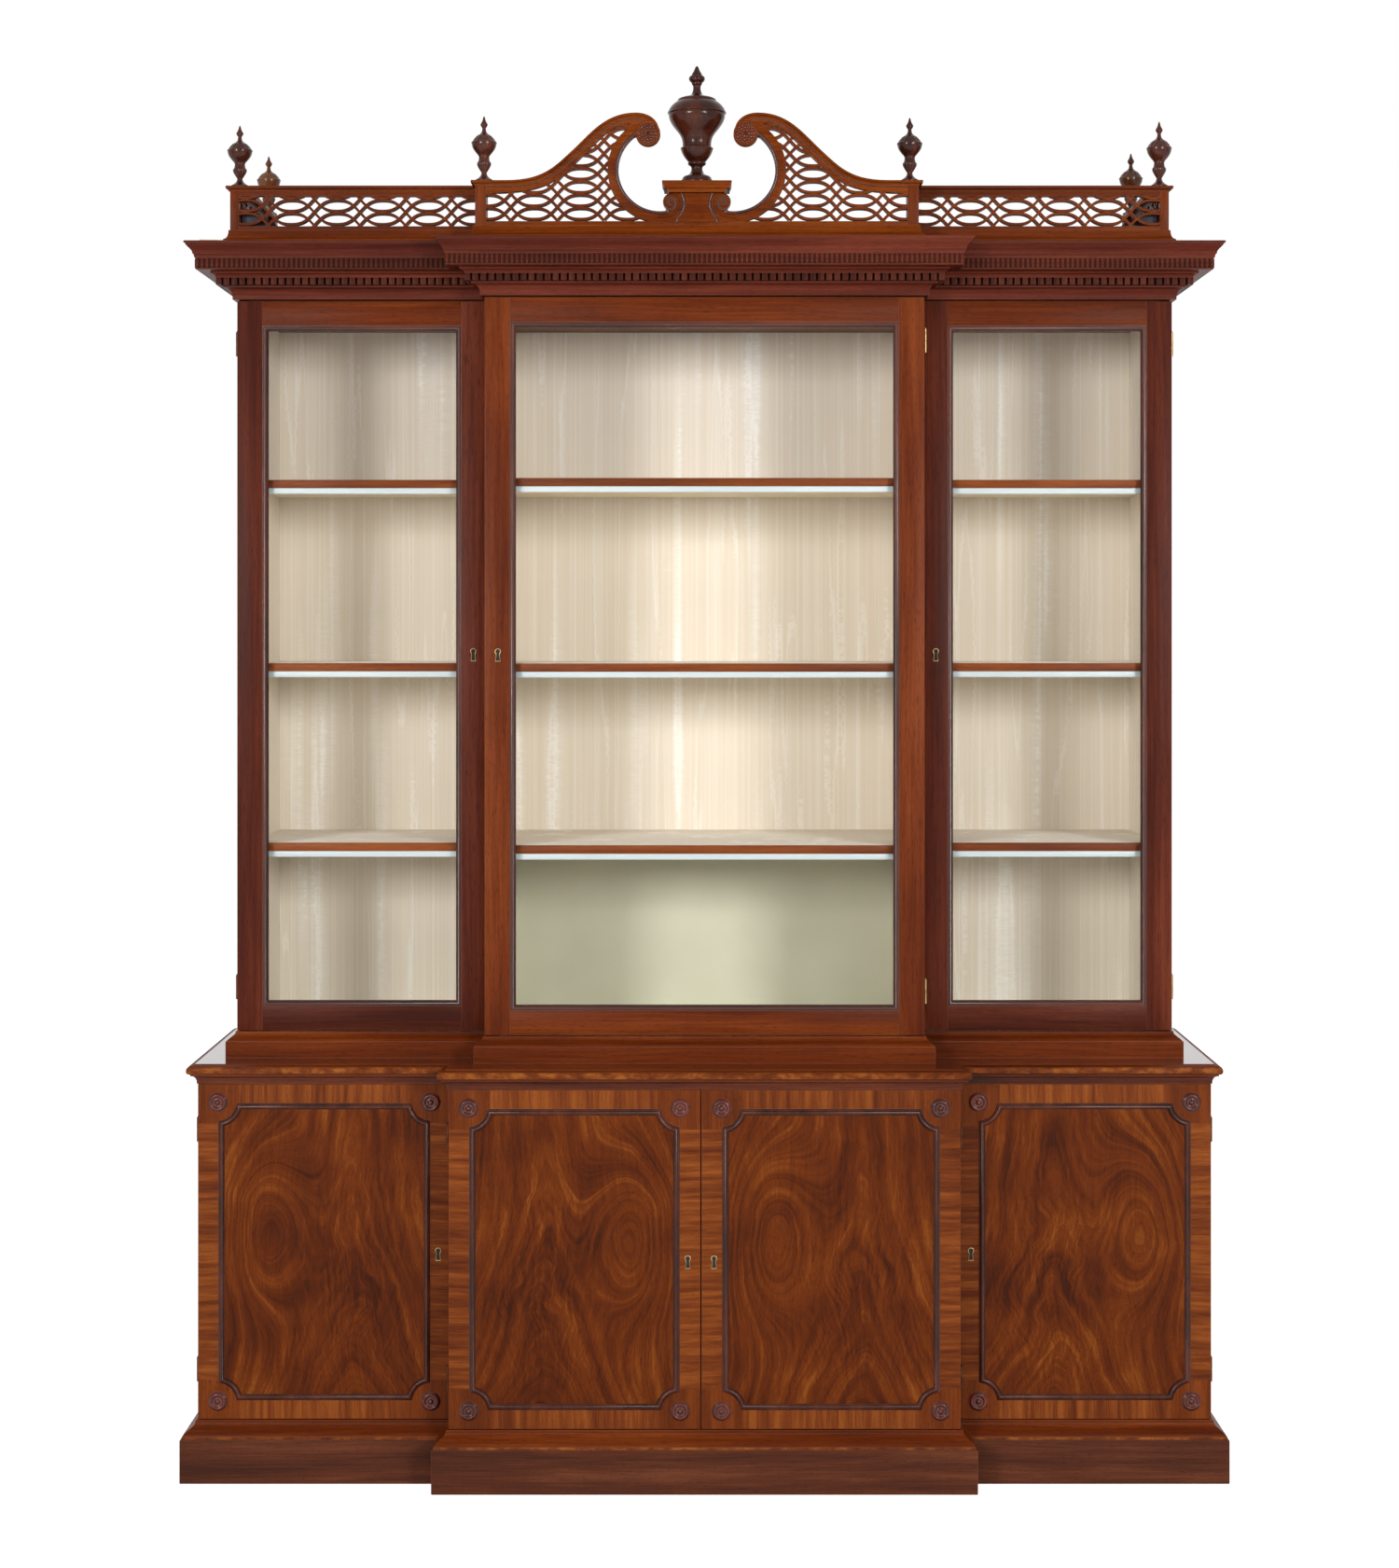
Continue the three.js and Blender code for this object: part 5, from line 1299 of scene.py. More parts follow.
def straight_runs(reach, height, inset_front, inset_return, inset_in):
    """The runs of the bookcase's plan at one projection, as edges that carry the way they face.

    The insets keep the ends of a run clear of its corners, which are inner ones beside the break."""
    corners = [Vector(corner) for corner in plan_corners(case_plan, reach)]
    points, edges, turns = [], [], []
    for run, (start, end) in enumerate(zip(corners, corners[1:])):
        along = (end - start).normalized()
        outer = inset_front if run % 2 else inset_return
        start_inset = inset_in if run in INNER_CORNERS else outer
        end_inset = inset_in if run + 1 in INNER_CORNERS else outer
        points += [(*(start + along * start_inset), height), (*(end - along * end_inset), height)]
        edges.append((2 * run, 2 * run + 1))
        turns += [math.atan2(along[1], along[0])] * 2
    mesh = bpy.data.meshes.new("runs")
    mesh.from_pydata([[value * MM for value in point] for point in points], edges, [])
    mesh.attributes.new("turn", "FLOAT", "POINT").data.foreach_set("value", turns)
    return mesh


def set_out(name, parts, finish, pitch, runs, *nodes):
    """Sets an ornament, drawn at the origin and facing along -Y, at one pitch along the runs."""
    ornament = make_piece(f"{name}_ornament", parts, [finish])
    made = grown(name, runs, row, {"Ornament": ornament, "Pitch": pitch * MM, "Finish": wood[finish]})
    bpy.data.objects.remove(ornament)
    fit(made, "dark_mahogany", *nodes)


# %% [markdown]
# A dentil is a small block that hangs under the cove. A flute of the corona is a shallow channel between
# two thin upright fillets, with a bead at its foot. The fillets and beads are what is set out here.

# %% Dentils and flutes
DENTIL_PITCH = 15.5
DENTIL_HALF = 5.5
DENTIL_DROP = 12.5
FLUTE_PITCH = 9.6
FILLET_HALF = 2.6
REED_PROUD = 1.6

block = eased_box((-DENTIL_HALF, DENTIL_HALF), (0, DENTIL_DROP), (0, DENTIL_HEAD - DENTIL_FOOT), 0.5)
insets = (DENTIL_HALF, DENTIL_HALF + DENTIL_PITCH, DENTIL_HALF + 4)
runs = straight_runs(DENTIL_REACH, CORNICE_BOTTOM + DENTIL_FOOT, *insets)
# The dentils take a darker wood than the rest of the cornice, partly painted shade from the gaps between
# them.
set_out("dentils", [(block, 0)], "dentil", DENTIL_PITCH, runs, "dentil_course")

shoulder = (FILLET_HALF * 0.7, -REED_PROUD * 0.8)
ring = [(-FILLET_HALF, 0.4), (-shoulder[0], shoulder[1]), (0, -REED_PROUD), shoulder, (FILLET_HALF, 0.4)]
reed_rings = [[(x, y, z) for x, y in ring] for z in (3.4, FLUTE_HEAD - FLUTE_FOOT - 2)]
reed_rings.append([(x * 0.5, max(y, -0.3), FLUTE_HEAD - FLUTE_FOOT) for x, y in ring])
foot_bead = turned([(0, 1.5), (1.2, 1.3), (1.9, 0.4), (1.9, -0.6), (0, -0.6)], (0, 0, 1.4), 10, "front")
runs = straight_runs(CORONA, CORNICE_BOTTOM + FLUTE_FOOT, 3.5, 3.5, 5.0)
set_out("corona_flutes", [(skin(reed_rings), 0), (foot_bead, 0)], "red", FLUTE_PITCH, runs)

# %% [markdown]
# ## Fret
# The fret is the rule that shapes the whole crown: pairs of waving strips cross one another, and leave
# lenses, diamonds and kites between them. On the real piece it is sawn from thin laminated board. Here a
# group draws each strip as a wave, keeps what lies in the panel that it is given, and gives it a section.

# %% The fret group
FRET_STRIP = 5
FRET_ROW = 26.2
FRET_SWELL = 23.8
FRET_THICKNESS = 19
WAVE_FIRST_SHARE, WAVE_THIRD_SHARE = 1.35, -0.35
fret_inputs = {"Panel": GEOMETRY, "Pitch": 0.0906, "Phase": 0.0, "First row": 2.459, "Row": 0.0262,
               "Rows": 4, "Swell": 0.0238, "Strip": 0.005, "Thickness": 0.02, "Step": 0.002,
               "Finish": MATERIAL}
fret = Group("fret", "GeometryNodeTree", fret_inputs, ["Fret"])
given = fret.given
box_corners = fret.wires("GeometryNodeBoundBox", {"Geometry": given["Panel"]})
lowest, highest = fret.separate(box_corners["Min"]), fret.separate(box_corners["Max"])


def waving_strips(sign, set_back):
    """One family of strips: straight lines in rows, bent into waves."""
    depth = lowest[1] + set_back
    ends = {"Start": fret.combine(lowest[0], depth), "End": fret.combine(highest[0], depth)}
    line = fret.wire("GeometryNodeCurvePrimitiveLine", ends)
    fine = fret.wire("GeometryNodeResampleCurve", {"Curve": line, "Length": given["Step"]}, mode="LENGTH")
    first, offset = fret.combine(z=given["First row"]), fret.combine(z=given["Row"])
    stack = {"Count": given["Rows"], "Start Location": first, "Offset": offset}
    rows = fret.wire("GeometryNodeMeshLine", stack)
    copies = fret.wire("GeometryNodeInstanceOnPoints", {"Points": rows, "Instance": fine})
    loose = fret.wire("GeometryNodeRealizeInstances", {"Geometry": copies})
    here = fret.separate(fret.wire("GeometryNodeInputPosition"))
    cosine = ((here[0] - given["Phase"]) / given["Pitch"] * math.pi).maths("COSINE")
    signed_cube = cosine.maths("ABSOLUTE").maths("POWER", 3.0) * cosine.maths("SIGN")
    height = cosine * WAVE_FIRST_SHARE + signed_cube * WAVE_THIRD_SHARE
    shift = fret.combine(z=height * given["Swell"] * sign)
    return fret.wire("GeometryNodeSetPosition", {"Geometry": loose, "Offset": shift})


both = fret.node("GeometryNodeJoinGeometry")
for sign, set_back in ((1.0, 0.0), (-1.0, 0.00015)):
    fret.put(both.inputs[0], waving_strips(sign, set_back))
threads = fret.wire("GeometryNodeCurveToMesh", {"Curve": Wire(fret, both.outputs[0])})
from_front = fret.vector("ADD", fret.wire("GeometryNodeInputPosition"), (0, -0.05, 0))
ray = {"Target Geometry": given["Panel"], "Source Position": from_front, "Ray Direction": (0, 1, 0),
       "Ray Length": 0.2}
inside = fret.wire("GeometryNodeRaycast", ray, "Is Hit")
outside = fret.wire("FunctionNodeBooleanMath", {0: inside}, operation="NOT")
cut = fret.wire("GeometryNodeDeleteGeometry", {"Geometry": threads, "Selection": outside}, domain="POINT")
strips = fret.wire("GeometryNodeMeshToCurve", {"Mesh": cut})
level = fret.wire("GeometryNodeSetCurveNormal", {"Curve": strips}, mode="Z_UP")
size = {"Width": given["Thickness"], "Height": given["Strip"]}
section = fret.wire("GeometryNodeCurvePrimitiveQuadrilateral", size)
easing = {"Curve": section, "Count": 1, "Radius": 0.0007}
eased = fret.wire("GeometryNodeFilletCurve", easing, mode="POLY")
sweep = {"Curve": level, "Profile Curve": eased, "Fill Caps": True}
hand_out(fret, fret.wire("GeometryNodeCurveToMesh", sweep))


def fret_panel(name, outline, middle_y, pitch, phase, rows, finish):
    """A fret inside a flat outline in X and Z."""
    panel = bpy.data.meshes.new("panel")
    points = [[value * MM for value in point] for point in upright(outline, middle_y)]
    panel.from_pydata(points, [], [list(range(len(outline)))])
    lengths = {"Pitch": pitch, "Phase": phase, "First row": FIRST_ROW, "Row": FRET_ROW,
               "Swell": FRET_SWELL, "Strip": FRET_STRIP, "Thickness": FRET_THICKNESS}
    values = {title: length * MM for title, length in lengths.items()}
    return grown(name, panel, fret, {**values, "Rows": rows, "Finish": wood[finish]})


# %% [markdown]
# ## Gallery
# Each wing of the gallery has a front and a side, joined at a square post. A moulding runs round its foot
# and a coping round its top. A triangular brace of blue-grey paint steadies the corner from inside; its
# dark tone is painted shade.

# %% Gallery sizes
GALLERY_BOARD = 20
GALLERY_SHIFT = -10
PEDIMENT_SHIFT = -15
gallery_half = case_plan["wing"] + 3.9
pediment_half = case_plan["centre"] + 3.7
gallery_rear = BACK - 12.4
BASE_RAIL_TOP = CORNICE_TOP + 32
FRET_BOTTOM = BASE_RAIL_TOP + 8
FRET_TOP = FRET_BOTTOM + 60
COPING_BOTTOM = FRET_TOP + 10
COPING_TOP = COPING_BOTTOM + 9.5
FIRST_ROW = FRET_BOTTOM + 1.9
FRET_PITCH = 90.6
POST = 17
BACK_POST = 33
OVERLAP = 3
CROWN_WOODS = ["rail", "return", "stile", grey_brace_and_shade]
FRONT_WOOD, SIDE_WOOD, POST_WOOD, GREY_AND_SHADE, BEAD_AND_GROOVE_SHADE = range(5)
RETURN_AND_FRONT = (SIDE_WOOD, FRONT_WOOD), [SIDE_WOOD, FRONT_WOOD]
foot_profile = profile_of((-40, 0), (18, 0), (18, 4), (16.5, 5), (ogee, (12, 13), 6), (11, 14),
                          (quarter_out, (3, 31)), (3, 32), (-40, 32), lift=CORNICE_TOP)
coping_profile = profile_of((-33, 0), (0, 0), (1.5, 0), (quarter_up, (6, 4.5), 4), (8, 4.5), (8, 8.7),
                            (7.2, 9.5), (-33, 9.5), lift=COPING_BOTTOM)


def rectangle(x0, x1, z0, z1):
    return [(x0, z0), (x1, z0), (x1, z1), (x0, z1)]


# %% Gallery
def gallery_wing(name, side):
    """One wing, drawn on the right. side is -1 where it is mirrored to the left."""
    outer_x = gallery_half + side * GALLERY_SHIFT
    inner_x = pediment_half - GALLERY_BOARD + side * PEDIMENT_SHIFT
    plane = case_wing_plane

    def path(reach, rear=gallery_rear):
        return [(outer_x + reach, rear), (outer_x + reach, plane - reach), (inner_x, plane - reach)]

    def rail_path(reach):
        return path(reach, gallery_rear - 5)

    lower_rail = rectangle(-GALLERY_BOARD, 0, BASE_RAIL_TOP, FRET_BOTTOM)
    upper_rail = rectangle(-GALLERY_BOARD, 0, FRET_TOP, COPING_BOTTOM)
    lines = (path, foot_profile), (rail_path, lower_rail), (rail_path, upper_rail), (path, coping_profile)
    parts = [run_along(path_at, profile, *RETURN_AND_FRONT) for path_at, profile in lines]
    z = (BASE_RAIL_TOP, COPING_BOTTOM)
    rear_y = (gallery_rear - BACK_POST, gallery_rear - 0.1)
    corner_post = eased_box((outer_x - POST, outer_x + 0.2), (plane - 0.2, plane + GALLERY_BOARD), z, 0.6)
    rear_post = eased_box((outer_x - BACK_POST, outer_x + 0.2), rear_y, z, 0.6)
    brace_x, brace_y = outer_x - GALLERY_BOARD, plane + 26
    brace = [(brace_x + x, BASE_RAIL_TOP + z) for x, z in ((0, 0), (-90, 0), (-86, 4), (0, 50))]
    parts += [(corner_post, POST_WOOD), (rear_post, POST_WOOD)]
    # The brace's dark finish is painted shade.
    parts.append((plate(brace, brace_y, brace_y + 8), GREY_AND_SHADE))
    parts = moved(parts, lambda x, y, z: (side * x, y, z))
    build(f"gallery_frame_{name}", parts, CROWN_WOODS, "mahogany", f"gallery_{name}")

    panel_z = (FRET_BOTTOM - OVERLAP, FRET_TOP + OVERLAP)
    xs = sorted((side * (inner_x + GALLERY_BOARD - OVERLAP), side * (outer_x - POST + OVERLAP)))
    phase = GALLERY_SHIFT + side * 447.4
    middle_y = plane + GALLERY_BOARD / 2
    front_panel = rectangle(*xs, *panel_z)
    fit(fret_panel(f"fret_front_{name}", front_panel, middle_y, FRET_PITCH, phase, 5, "rail"), "mahogany")
    start = plane + POST
    length = gallery_rear - BACK_POST - start
    side_panel = rectangle(start - OVERLAP, start + length + OVERLAP, *panel_z)
    pitch = length / round(length / FRET_PITCH)
    side_fret = fret_panel(f"fret_side_{name}", side_panel, 0, pitch, start, 5, "return")
    middle_x = (outer_x - GALLERY_BOARD / 2) * side * MM
    for vertex in side_fret.data.vertices:
        along, deep, high = vertex.co
        vertex.co = (middle_x - deep, along, high)
    fit(side_fret, "mahogany")


gallery_wing("left", -1)
gallery_wing("right", 1)

# %% [markdown]
# ## Pediment
# The swan-neck pediment is sawn from one board. Two crests rise from posts, and roll over into a rosette
# beside the urn. Below each rosette a C-shaped band swings out, down and under, and ends in a small volute
# against the pedestal. The crest has a moulded rim, and the C has a rounded bead on its inner edge.

# %% Curves of the pediment
CREST = 133
ARCH = (72, CORNICE_TOP + 141)
ARCH_RADIUS, ARCH_BAND = 82, 21
SCROLL_X, SCROLL_Z, SCROLL_RADIUS = 95.7, CORNICE_TOP + 211.7, 24
VOLUTE_X, VOLUTE_Z, VOLUTE_RADIUS = 50, CORNICE_TOP + 78, 16.5
PEDESTAL_NECK = CORNICE_TOP + 95
PEDESTAL_HALF = 27
PEDIMENT_POST = 21.5
CREST_SHARES = [
    [(0.86, 0), (0.69, 0), (0.64, 0.2), (0.555, 0.455)],
    [(0.555, 0.455), (0.475, 0.7), (0.41, 0.993), (0.275, 0.993)],
    [(0.275, 0.993), (0.21, 0.993), (0.17, 0.87), (0.17, 0.716)],
]
BAND_SHARES = [
    [(0.94, -0.18), (0.69, -0.18), (0.645, -0.02), (0.555, 0.24)],
    [(0.555, 0.24), (0.45, 0.56), (0.4, 0.82), (0.3, 0.845)],
]
CURL = [(78, 48.8), (68, 48.6), (58, 49.8), (48, 53), (40.6, 59.5), (36.6, 68), (36, 77), (38.8, 85.4),
        (44.4, 90), (50.6, 90.6), (56.8, 88.2), (61, 83), (62, 76.6), (59.4, 70.8), (54.4, 68),
        (49.2, 69.2), (46.2, 73.4), (46.6, 78), (49.6, 80.6)]
DIE_SIDE = [(37.6, 38.6), (36.4, 43), (33, 48.5), (28, 56), (23.8, 65), (22.2, 75), (23.2, 83), (25.4, 90),
            (27, 94)]


SAME_PLACE = 0.02


def without_repeats(line, gap=0.0):
    """A line without the points that lie within a gap of the one before."""
    kept = line[:1]
    for point in line[1:]:
        if math.dist(point, kept[-1]) > gap:
            kept.append(point)
    return kept


def bezier_line(curves):
    """Points along cubic curves whose corners are shares of the pediment's half width and crest."""
    line = []
    for corners in curves:
        for t in shares(14):
            u = 1 - t
            weights = (u ** 3, 3 * u * u * t, 3 * u * t * t, t ** 3)
            x, z = [sum(weight * part for weight, part in zip(weights, parts)) for parts in zip(*corners)]
            line.append((x * pediment_half, COPING_TOP + z * CREST))
    return without_repeats(line)


def spline(t, a, b, c, d):
    """A number on the way from b to c, where a comes before them and d after."""
    square, cube = 2 * a - 5 * b + 4 * c - d, 3 * b - a - 3 * c + d
    return 0.5 * (2 * b + (c - a) * t + square * t * t + cube * t ** 3)


def smooth_line(points, steps=5):
    """A smooth curve through its points."""
    line = []
    padded = [points[0], *points, points[-1]]
    for near in zip(padded, padded[1:], padded[2:], padded[3:]):
        for t in shares(steps):
            line.append(tuple(spline(t, *parts) for parts in zip(*near)))
    return without_repeats(line, SAME_PLACE)


def on_cornice(shape, aside=0):
    """A smooth line that is drawn from the top of the cornice."""
    return smooth_line([(x + aside, CORNICE_TOP + z) for x, z in shape])


def reed_section(half_width, proud):
    """Half of an oval, to be swept along a line."""
    return [(half_width * x, proud * y) for x, y in arc_line((0, 0), 1, -10, 190, 10)]


crest_line = bezier_line(CREST_SHARES)
band_line = bezier_line(BAND_SHARES)
print("Points along the crest:", len(crest_line))

# %% [markdown]
# The parts of one half are drawn on the right of the middle and mirrored. Flat bands that meet are set a
# hair apart in depth, as a carver leaves them, so that none of their faces lie in the same place.

# %% Half of the pediment
HAIR = 0.25
front = case_plan["front"]
rear = front + GALLERY_BOARD
half = pediment_half
inner_post = half - PEDIMENT_POST


def pediment_boards():
    """The post, the rail, the crest and the C-shaped band, with the discs of the scroll and the volute."""
    post = eased_box((inner_post, half), (front - 2 * HAIR, rear), (BASE_RAIL_TOP, COPING_BOTTOM), 0.6)
    rail = eased_box((VOLUTE_X - 20, inner_post), (front, rear), (BASE_RAIL_TOP, FRET_BOTTOM), 0.4)
    crest = [(inner_post, COPING_BOTTOM), (half - 2, COPING_BOTTOM), (half - 2, COPING_TOP - 1),
             (crest_line[0][0], COPING_TOP - 1)] + crest_line[1:]
    crest += [(SCROLL_X - 16, SCROLL_Z), (SCROLL_X + 20, SCROLL_Z - 4), (ARCH[0] + 70, SCROLL_Z - 14)]
    crest += band_line[::-1] + [(inner_post, band_line[0][1])]
    beside = PEDESTAL_HALF + 0.4
    tail = [(VOLUTE_X - 8, BASE_RAIL_TOP + 2), (beside, BASE_RAIL_TOP + 3), (beside, PEDESTAL_NECK - 0.4),
            (VOLUTE_X - 2, PEDESTAL_NECK - 0.5), (VOLUTE_X, VOLUTE_Z + 2), (VOLUTE_X + 10, VOLUTE_Z - 12)]
    outer_arc = arc_line(ARCH, ARCH_RADIUS + ARCH_BAND, 64, -88)
    arch = outer_arc + tail + arc_line(ARCH, ARCH_RADIUS, -104, 62)[1:]
    rim, depth = SCROLL_RADIUS, -GALLERY_BOARD
    disc = [(0, 2.5), (rim - 4, 2.5), (rim - 3, 3.9), (rim - 1, 3.9), (rim, 2.5), (rim, depth),
            (0, depth)]
    # The volute's disc shows between the turns of the curl, and its dark wood is painted shade in that
    # groove.
    rim = VOLUTE_RADIUS
    volute_disc = [(0, 0.9), (rim - 1, 0.9), (rim, 0), (rim, depth), (0, depth)]
    return [(post, POST_WOOD), (rail, FRONT_WOOD), (plate(crest, front - HAIR, rear, 0.4), FRONT_WOOD),
            (plate(arch, front - 2 * HAIR, rear + HAIR, 0.4), FRONT_WOOD),
            (turned(disc, (SCROLL_X, front, SCROLL_Z), 48, "front"), FRONT_WOOD),
            (turned(volute_disc, (VOLUTE_X, front, VOLUTE_Z), 32, "front"), BEAD_AND_GROOVE_SHADE)]


def pediment_mouldings():
    """The curl and its eye, the beads of the C and of the pedestal, and the rim of the crest."""
    curl = swept(on_cornice(CURL), reed_section(4.5, 3.4), front - 0.4, taper=0.5)
    eye_place = (VOLUTE_X + 0.6, front, VOLUTE_Z - 0.8)
    eye = turned([(0, 3.4), (1.8, 3), (2.9, 1.8), (3.2, 0.4), (0, 0.4)], eye_place, 20, "front")
    inner_line = arc_line(ARCH, ARCH_RADIUS + 3, 60, -100, 48) + [(VOLUTE_X + 8, VOLUTE_Z - 16)]
    inner_bead = swept(inner_line, reed_section(3.4, 3.4), front)
    die_bead = swept(on_cornice(DIE_SIDE, 2.6), reed_section(2.8, 2.8), front - 0.8)
    top_line = [(x, z - 0.3) for x, z in crest_line]
    rim_section = [(0, 0), (0, 7), (1.5, 8), (3.4, 8), (4.2, 5.4), (5.8, 3.2), (8.4, 2.2), (8.8, 0)]
    rim = swept([(half - 30, COPING_TOP - 0.3)] + top_line, rim_section, front)
    reed_line = [(inner_post, COPING_TOP)] + top_line[:-9]
    reed = swept(reed_line, [(11, 0), (11.4, 1.2), (12.4, 1.8), (13.4, 1.2), (13.8, 0)], front)
    return [(curl, FRONT_WOOD), (eye, FRONT_WOOD), (inner_bead, BEAD_AND_GROOVE_SHADE), (die_bead, BEAD_AND_GROOVE_SHADE),
            (rim, FRONT_WOOD), (reed, BEAD_AND_GROOVE_SHADE)]


# %% Whole pediment
FOOT_SIDE_GAP, COPING_SIDE_GAP, BUTT_GAP = 18.3, 8.3, 0.3


def foot_path(reach):
    out, end = half + reach, case_wing_plane - FOOT_SIDE_GAP
    return [(out, end), (out, front - reach), (-out, front - reach), (-out, end)]


right = pediment_boards() + pediment_mouldings()
parts = right + moved(right, lambda x, y, z: (-x, y, z))
middle_x = VOLUTE_X - 20
middle_rail = eased_box((-middle_x, middle_x), (front, rear), (BASE_RAIL_TOP, FRET_BOTTOM), 0.2)
parts.append((middle_rail, FRONT_WOOD))
foot_woods = (SIDE_WOOD, FRONT_WOOD, SIDE_WOOD)
parts.append(run_along(foot_path, foot_profile, foot_woods, [SIDE_WOOD, SIDE_WOOD]))
for hand in (-1, 1):
    def end_path(reach):
        out, end = hand * (half + reach), case_wing_plane - COPING_SIDE_GAP
        return [(out, end), (out, front - reach), (hand * (half - 33), front - reach)]
    parts.append(run_along(end_path, coping_profile, *RETURN_AND_FRONT))
    return_x = sorted((hand * (half - GALLERY_BOARD), hand * (half - BUTT_GAP)))
    return_y = (rear - 1, case_wing_plane - BUTT_GAP)
    parts.append((eased_box(return_x, return_y, (BASE_RAIL_TOP, COPING_BOTTOM), 0.4), SIDE_WOOD))
parts = moved(parts, lambda x, y, z: (x + PEDIMENT_SHIFT, y, z))
pediment_woods = ["swan", *CROWN_WOODS[1:], "dark_upright"]
build("pediment_board", parts, pediment_woods, "mahogany", "pediment")

edge_x = inner_post + OVERLAP
opening = [(edge_x, FRET_BOTTOM - OVERLAP), (edge_x, band_line[0][1] + OVERLAP)]
opening += [(x, z + OVERLAP) for x, z in band_line]
opening += arc_line(ARCH, ARCH_RADIUS + ARCH_BAND - OVERLAP, 60, -76, 24)
for hand, side in ((-1, "left"), (1, "right")):
    outline = [(hand * x + PEDIMENT_SHIFT, z) for x, z in opening]
    phase = PEDIMENT_SHIFT + hand * 136.5
    middle_y = (front + rear) / 2
    fit(fret_panel(f"fret_pediment_{side}", outline, middle_y, 91.3, phase, 10, "rail"), "mahogany")

# %% [markdown]
# ## Rosettes
# Each scroll ends in a rosette of small pointed petals round a boss. The petals stand in three rings, and a
# group sets them out on circles.

# %% Rosettes on the scrolls
PETAL = 3.1
PETAL_RINGS = ((1, 0.0), (6, 0.34), (11, 0.64), (16, 0.92))
FLATTENED = 0.55
rosette = Group("rosette", "GeometryNodeTree",
                {"Carrier": GEOMETRY, "Radius": 0.02, "Petal": 0.003, "Finish": MATERIAL}, ["Rosette"])
ball = {"Segments": 10, "Rings": 6, "Radius": rosette.given["Petal"]}
petal = rosette.wire("GeometryNodeMeshUVSphere", ball)
joined = rosette.node("GeometryNodeJoinGeometry")
for petals, share in PETAL_RINGS:
    circle = {"Vertices": max(petals, 3), "Radius": rosette.given["Radius"] * share}
    points = rosette.wire("GeometryNodeMeshCircle", circle)
    ring = rosette.wire("GeometryNodeInstanceOnPoints", {"Points": points, "Instance": petal})
    rosette.put(joined.inputs[0], ring)
hand_out(rosette, Wire(rosette, joined.outputs[0]))

for hand, side in ((-1, "left"), (1, "right")):
    dot = bpy.data.meshes.new("rosette_carrier")
    dot.from_pydata([(0, 0, 0)], [], [])
    values = {"Radius": (SCROLL_RADIUS - 5) * MM, "Petal": PETAL * MM, "Finish": wood["roundel"]}
    made = grown(f"rosette_{side}", dot, rosette, values)
    centre = Vector((PEDIMENT_SHIFT + hand * SCROLL_X, front - 2.2, SCROLL_Z)) * MM
    for vertex in made.data.vertices:
        x, y, z = vertex.co
        vertex.co = centre + Vector((x, -z * FLATTENED, y))
    fit(made, "mahogany")

# %% [markdown]
# ## Pedestal
# The pedestal between the scrolls has a shaped die in front, and a moulded cap that carries the urn.

# %% Pedestal
PEDESTAL_DEPTH = 44
CAP_REACH = 41
CAP_DEPTH_REACH = 21
pedestal_foot, cap_top = [corner[2] for corner in span("urn_pedestal")]
near, far = front - 4, front - 4 + PEDESTAL_DEPTH
core_x = (PEDIMENT_SHIFT - PEDESTAL_HALF, PEDIMENT_SHIFT + PEDESTAL_HALF)
core = eased_box(core_x, (front + 0.3, far), (pedestal_foot, PEDESTAL_NECK + 0.5), 0.4)
die_side = on_cornice(DIE_SIDE)
die_outline = [(PEDIMENT_SHIFT + x, z) for x, z in die_side]
die_outline += [(PEDIMENT_SHIFT - x, z) for x, z in die_side[::-1]]
die = plate(die_outline, near, front + 2, 0.8)
top = cap_top - PEDESTAL_NECK
cap_profile = profile_of((28, -0.6), (28, 0.4), (quarter_up, (37, top - 14), 5), (37.6, top - 14),
                         (37.6, top - 11), (ogee, (40.4, top - 4)), (CAP_REACH, top - 3.6),
                         (CAP_REACH, top), lift=PEDESTAL_NECK)
rings = []
for reach, z in cap_profile:
    across, deep = PEDESTAL_HALF + reach, reach * CAP_DEPTH_REACH / CAP_REACH
    corners = ((-1, near - deep), (1, near - deep), (1, far + deep), (-1, far + deep))
    rings.append([(PEDIMENT_SHIFT + hand * across, y, z) for hand, y in corners])
build("pedestal", [(core, 0), (die, 0), (skin(rings), 0)], ["swan"], "mahogany", "urn_pedestal")

# %% [markdown]
# ## Urn and finials
# The urn and the finials are turned on a lathe, so a profile revolved about an upright axis is exactly how
# the real ones were made. A smooth member of a turning is a curve through a few points. Members are joined
# where the turner's tool leaves a sharp line, so each member is curved by itself.

# %% Turned work
def turner_curve(members, steps):
    """Radius and height along a turning. Each member is a smooth curve through its own points."""
    line = [point for member in members for point in smooth_line(member, steps)]
    return [(max(radius, 0), height) for radius, height in without_repeats(line, SAME_PLACE)]


def seat_of(node):
    """The middle of a solid's foot."""
    low, high = span(node)
    return *middle(low, high)[:2], low[2]


def carved(part, seat, lobes, depth, low, high):
    """The same turning with upright lobes carved between two heights above its seat."""
    points = []
    for x, y, z in part[0]:
        share = 0
        if low < z - seat[2] < high:
            turn = math.atan2(y - seat[1], x - seat[0])
            fade = math.sin((z - seat[2] - low) / (high - low) * math.pi) ** 0.5
            share = -depth * fade * (1 - abs(math.cos(turn * lobes / 2)) ** 0.7)
        points.append((seat[0] + (x - seat[0]) * (1 + share), seat[1] + (y - seat[1]) * (1 + share), z))
    return points, part[1]


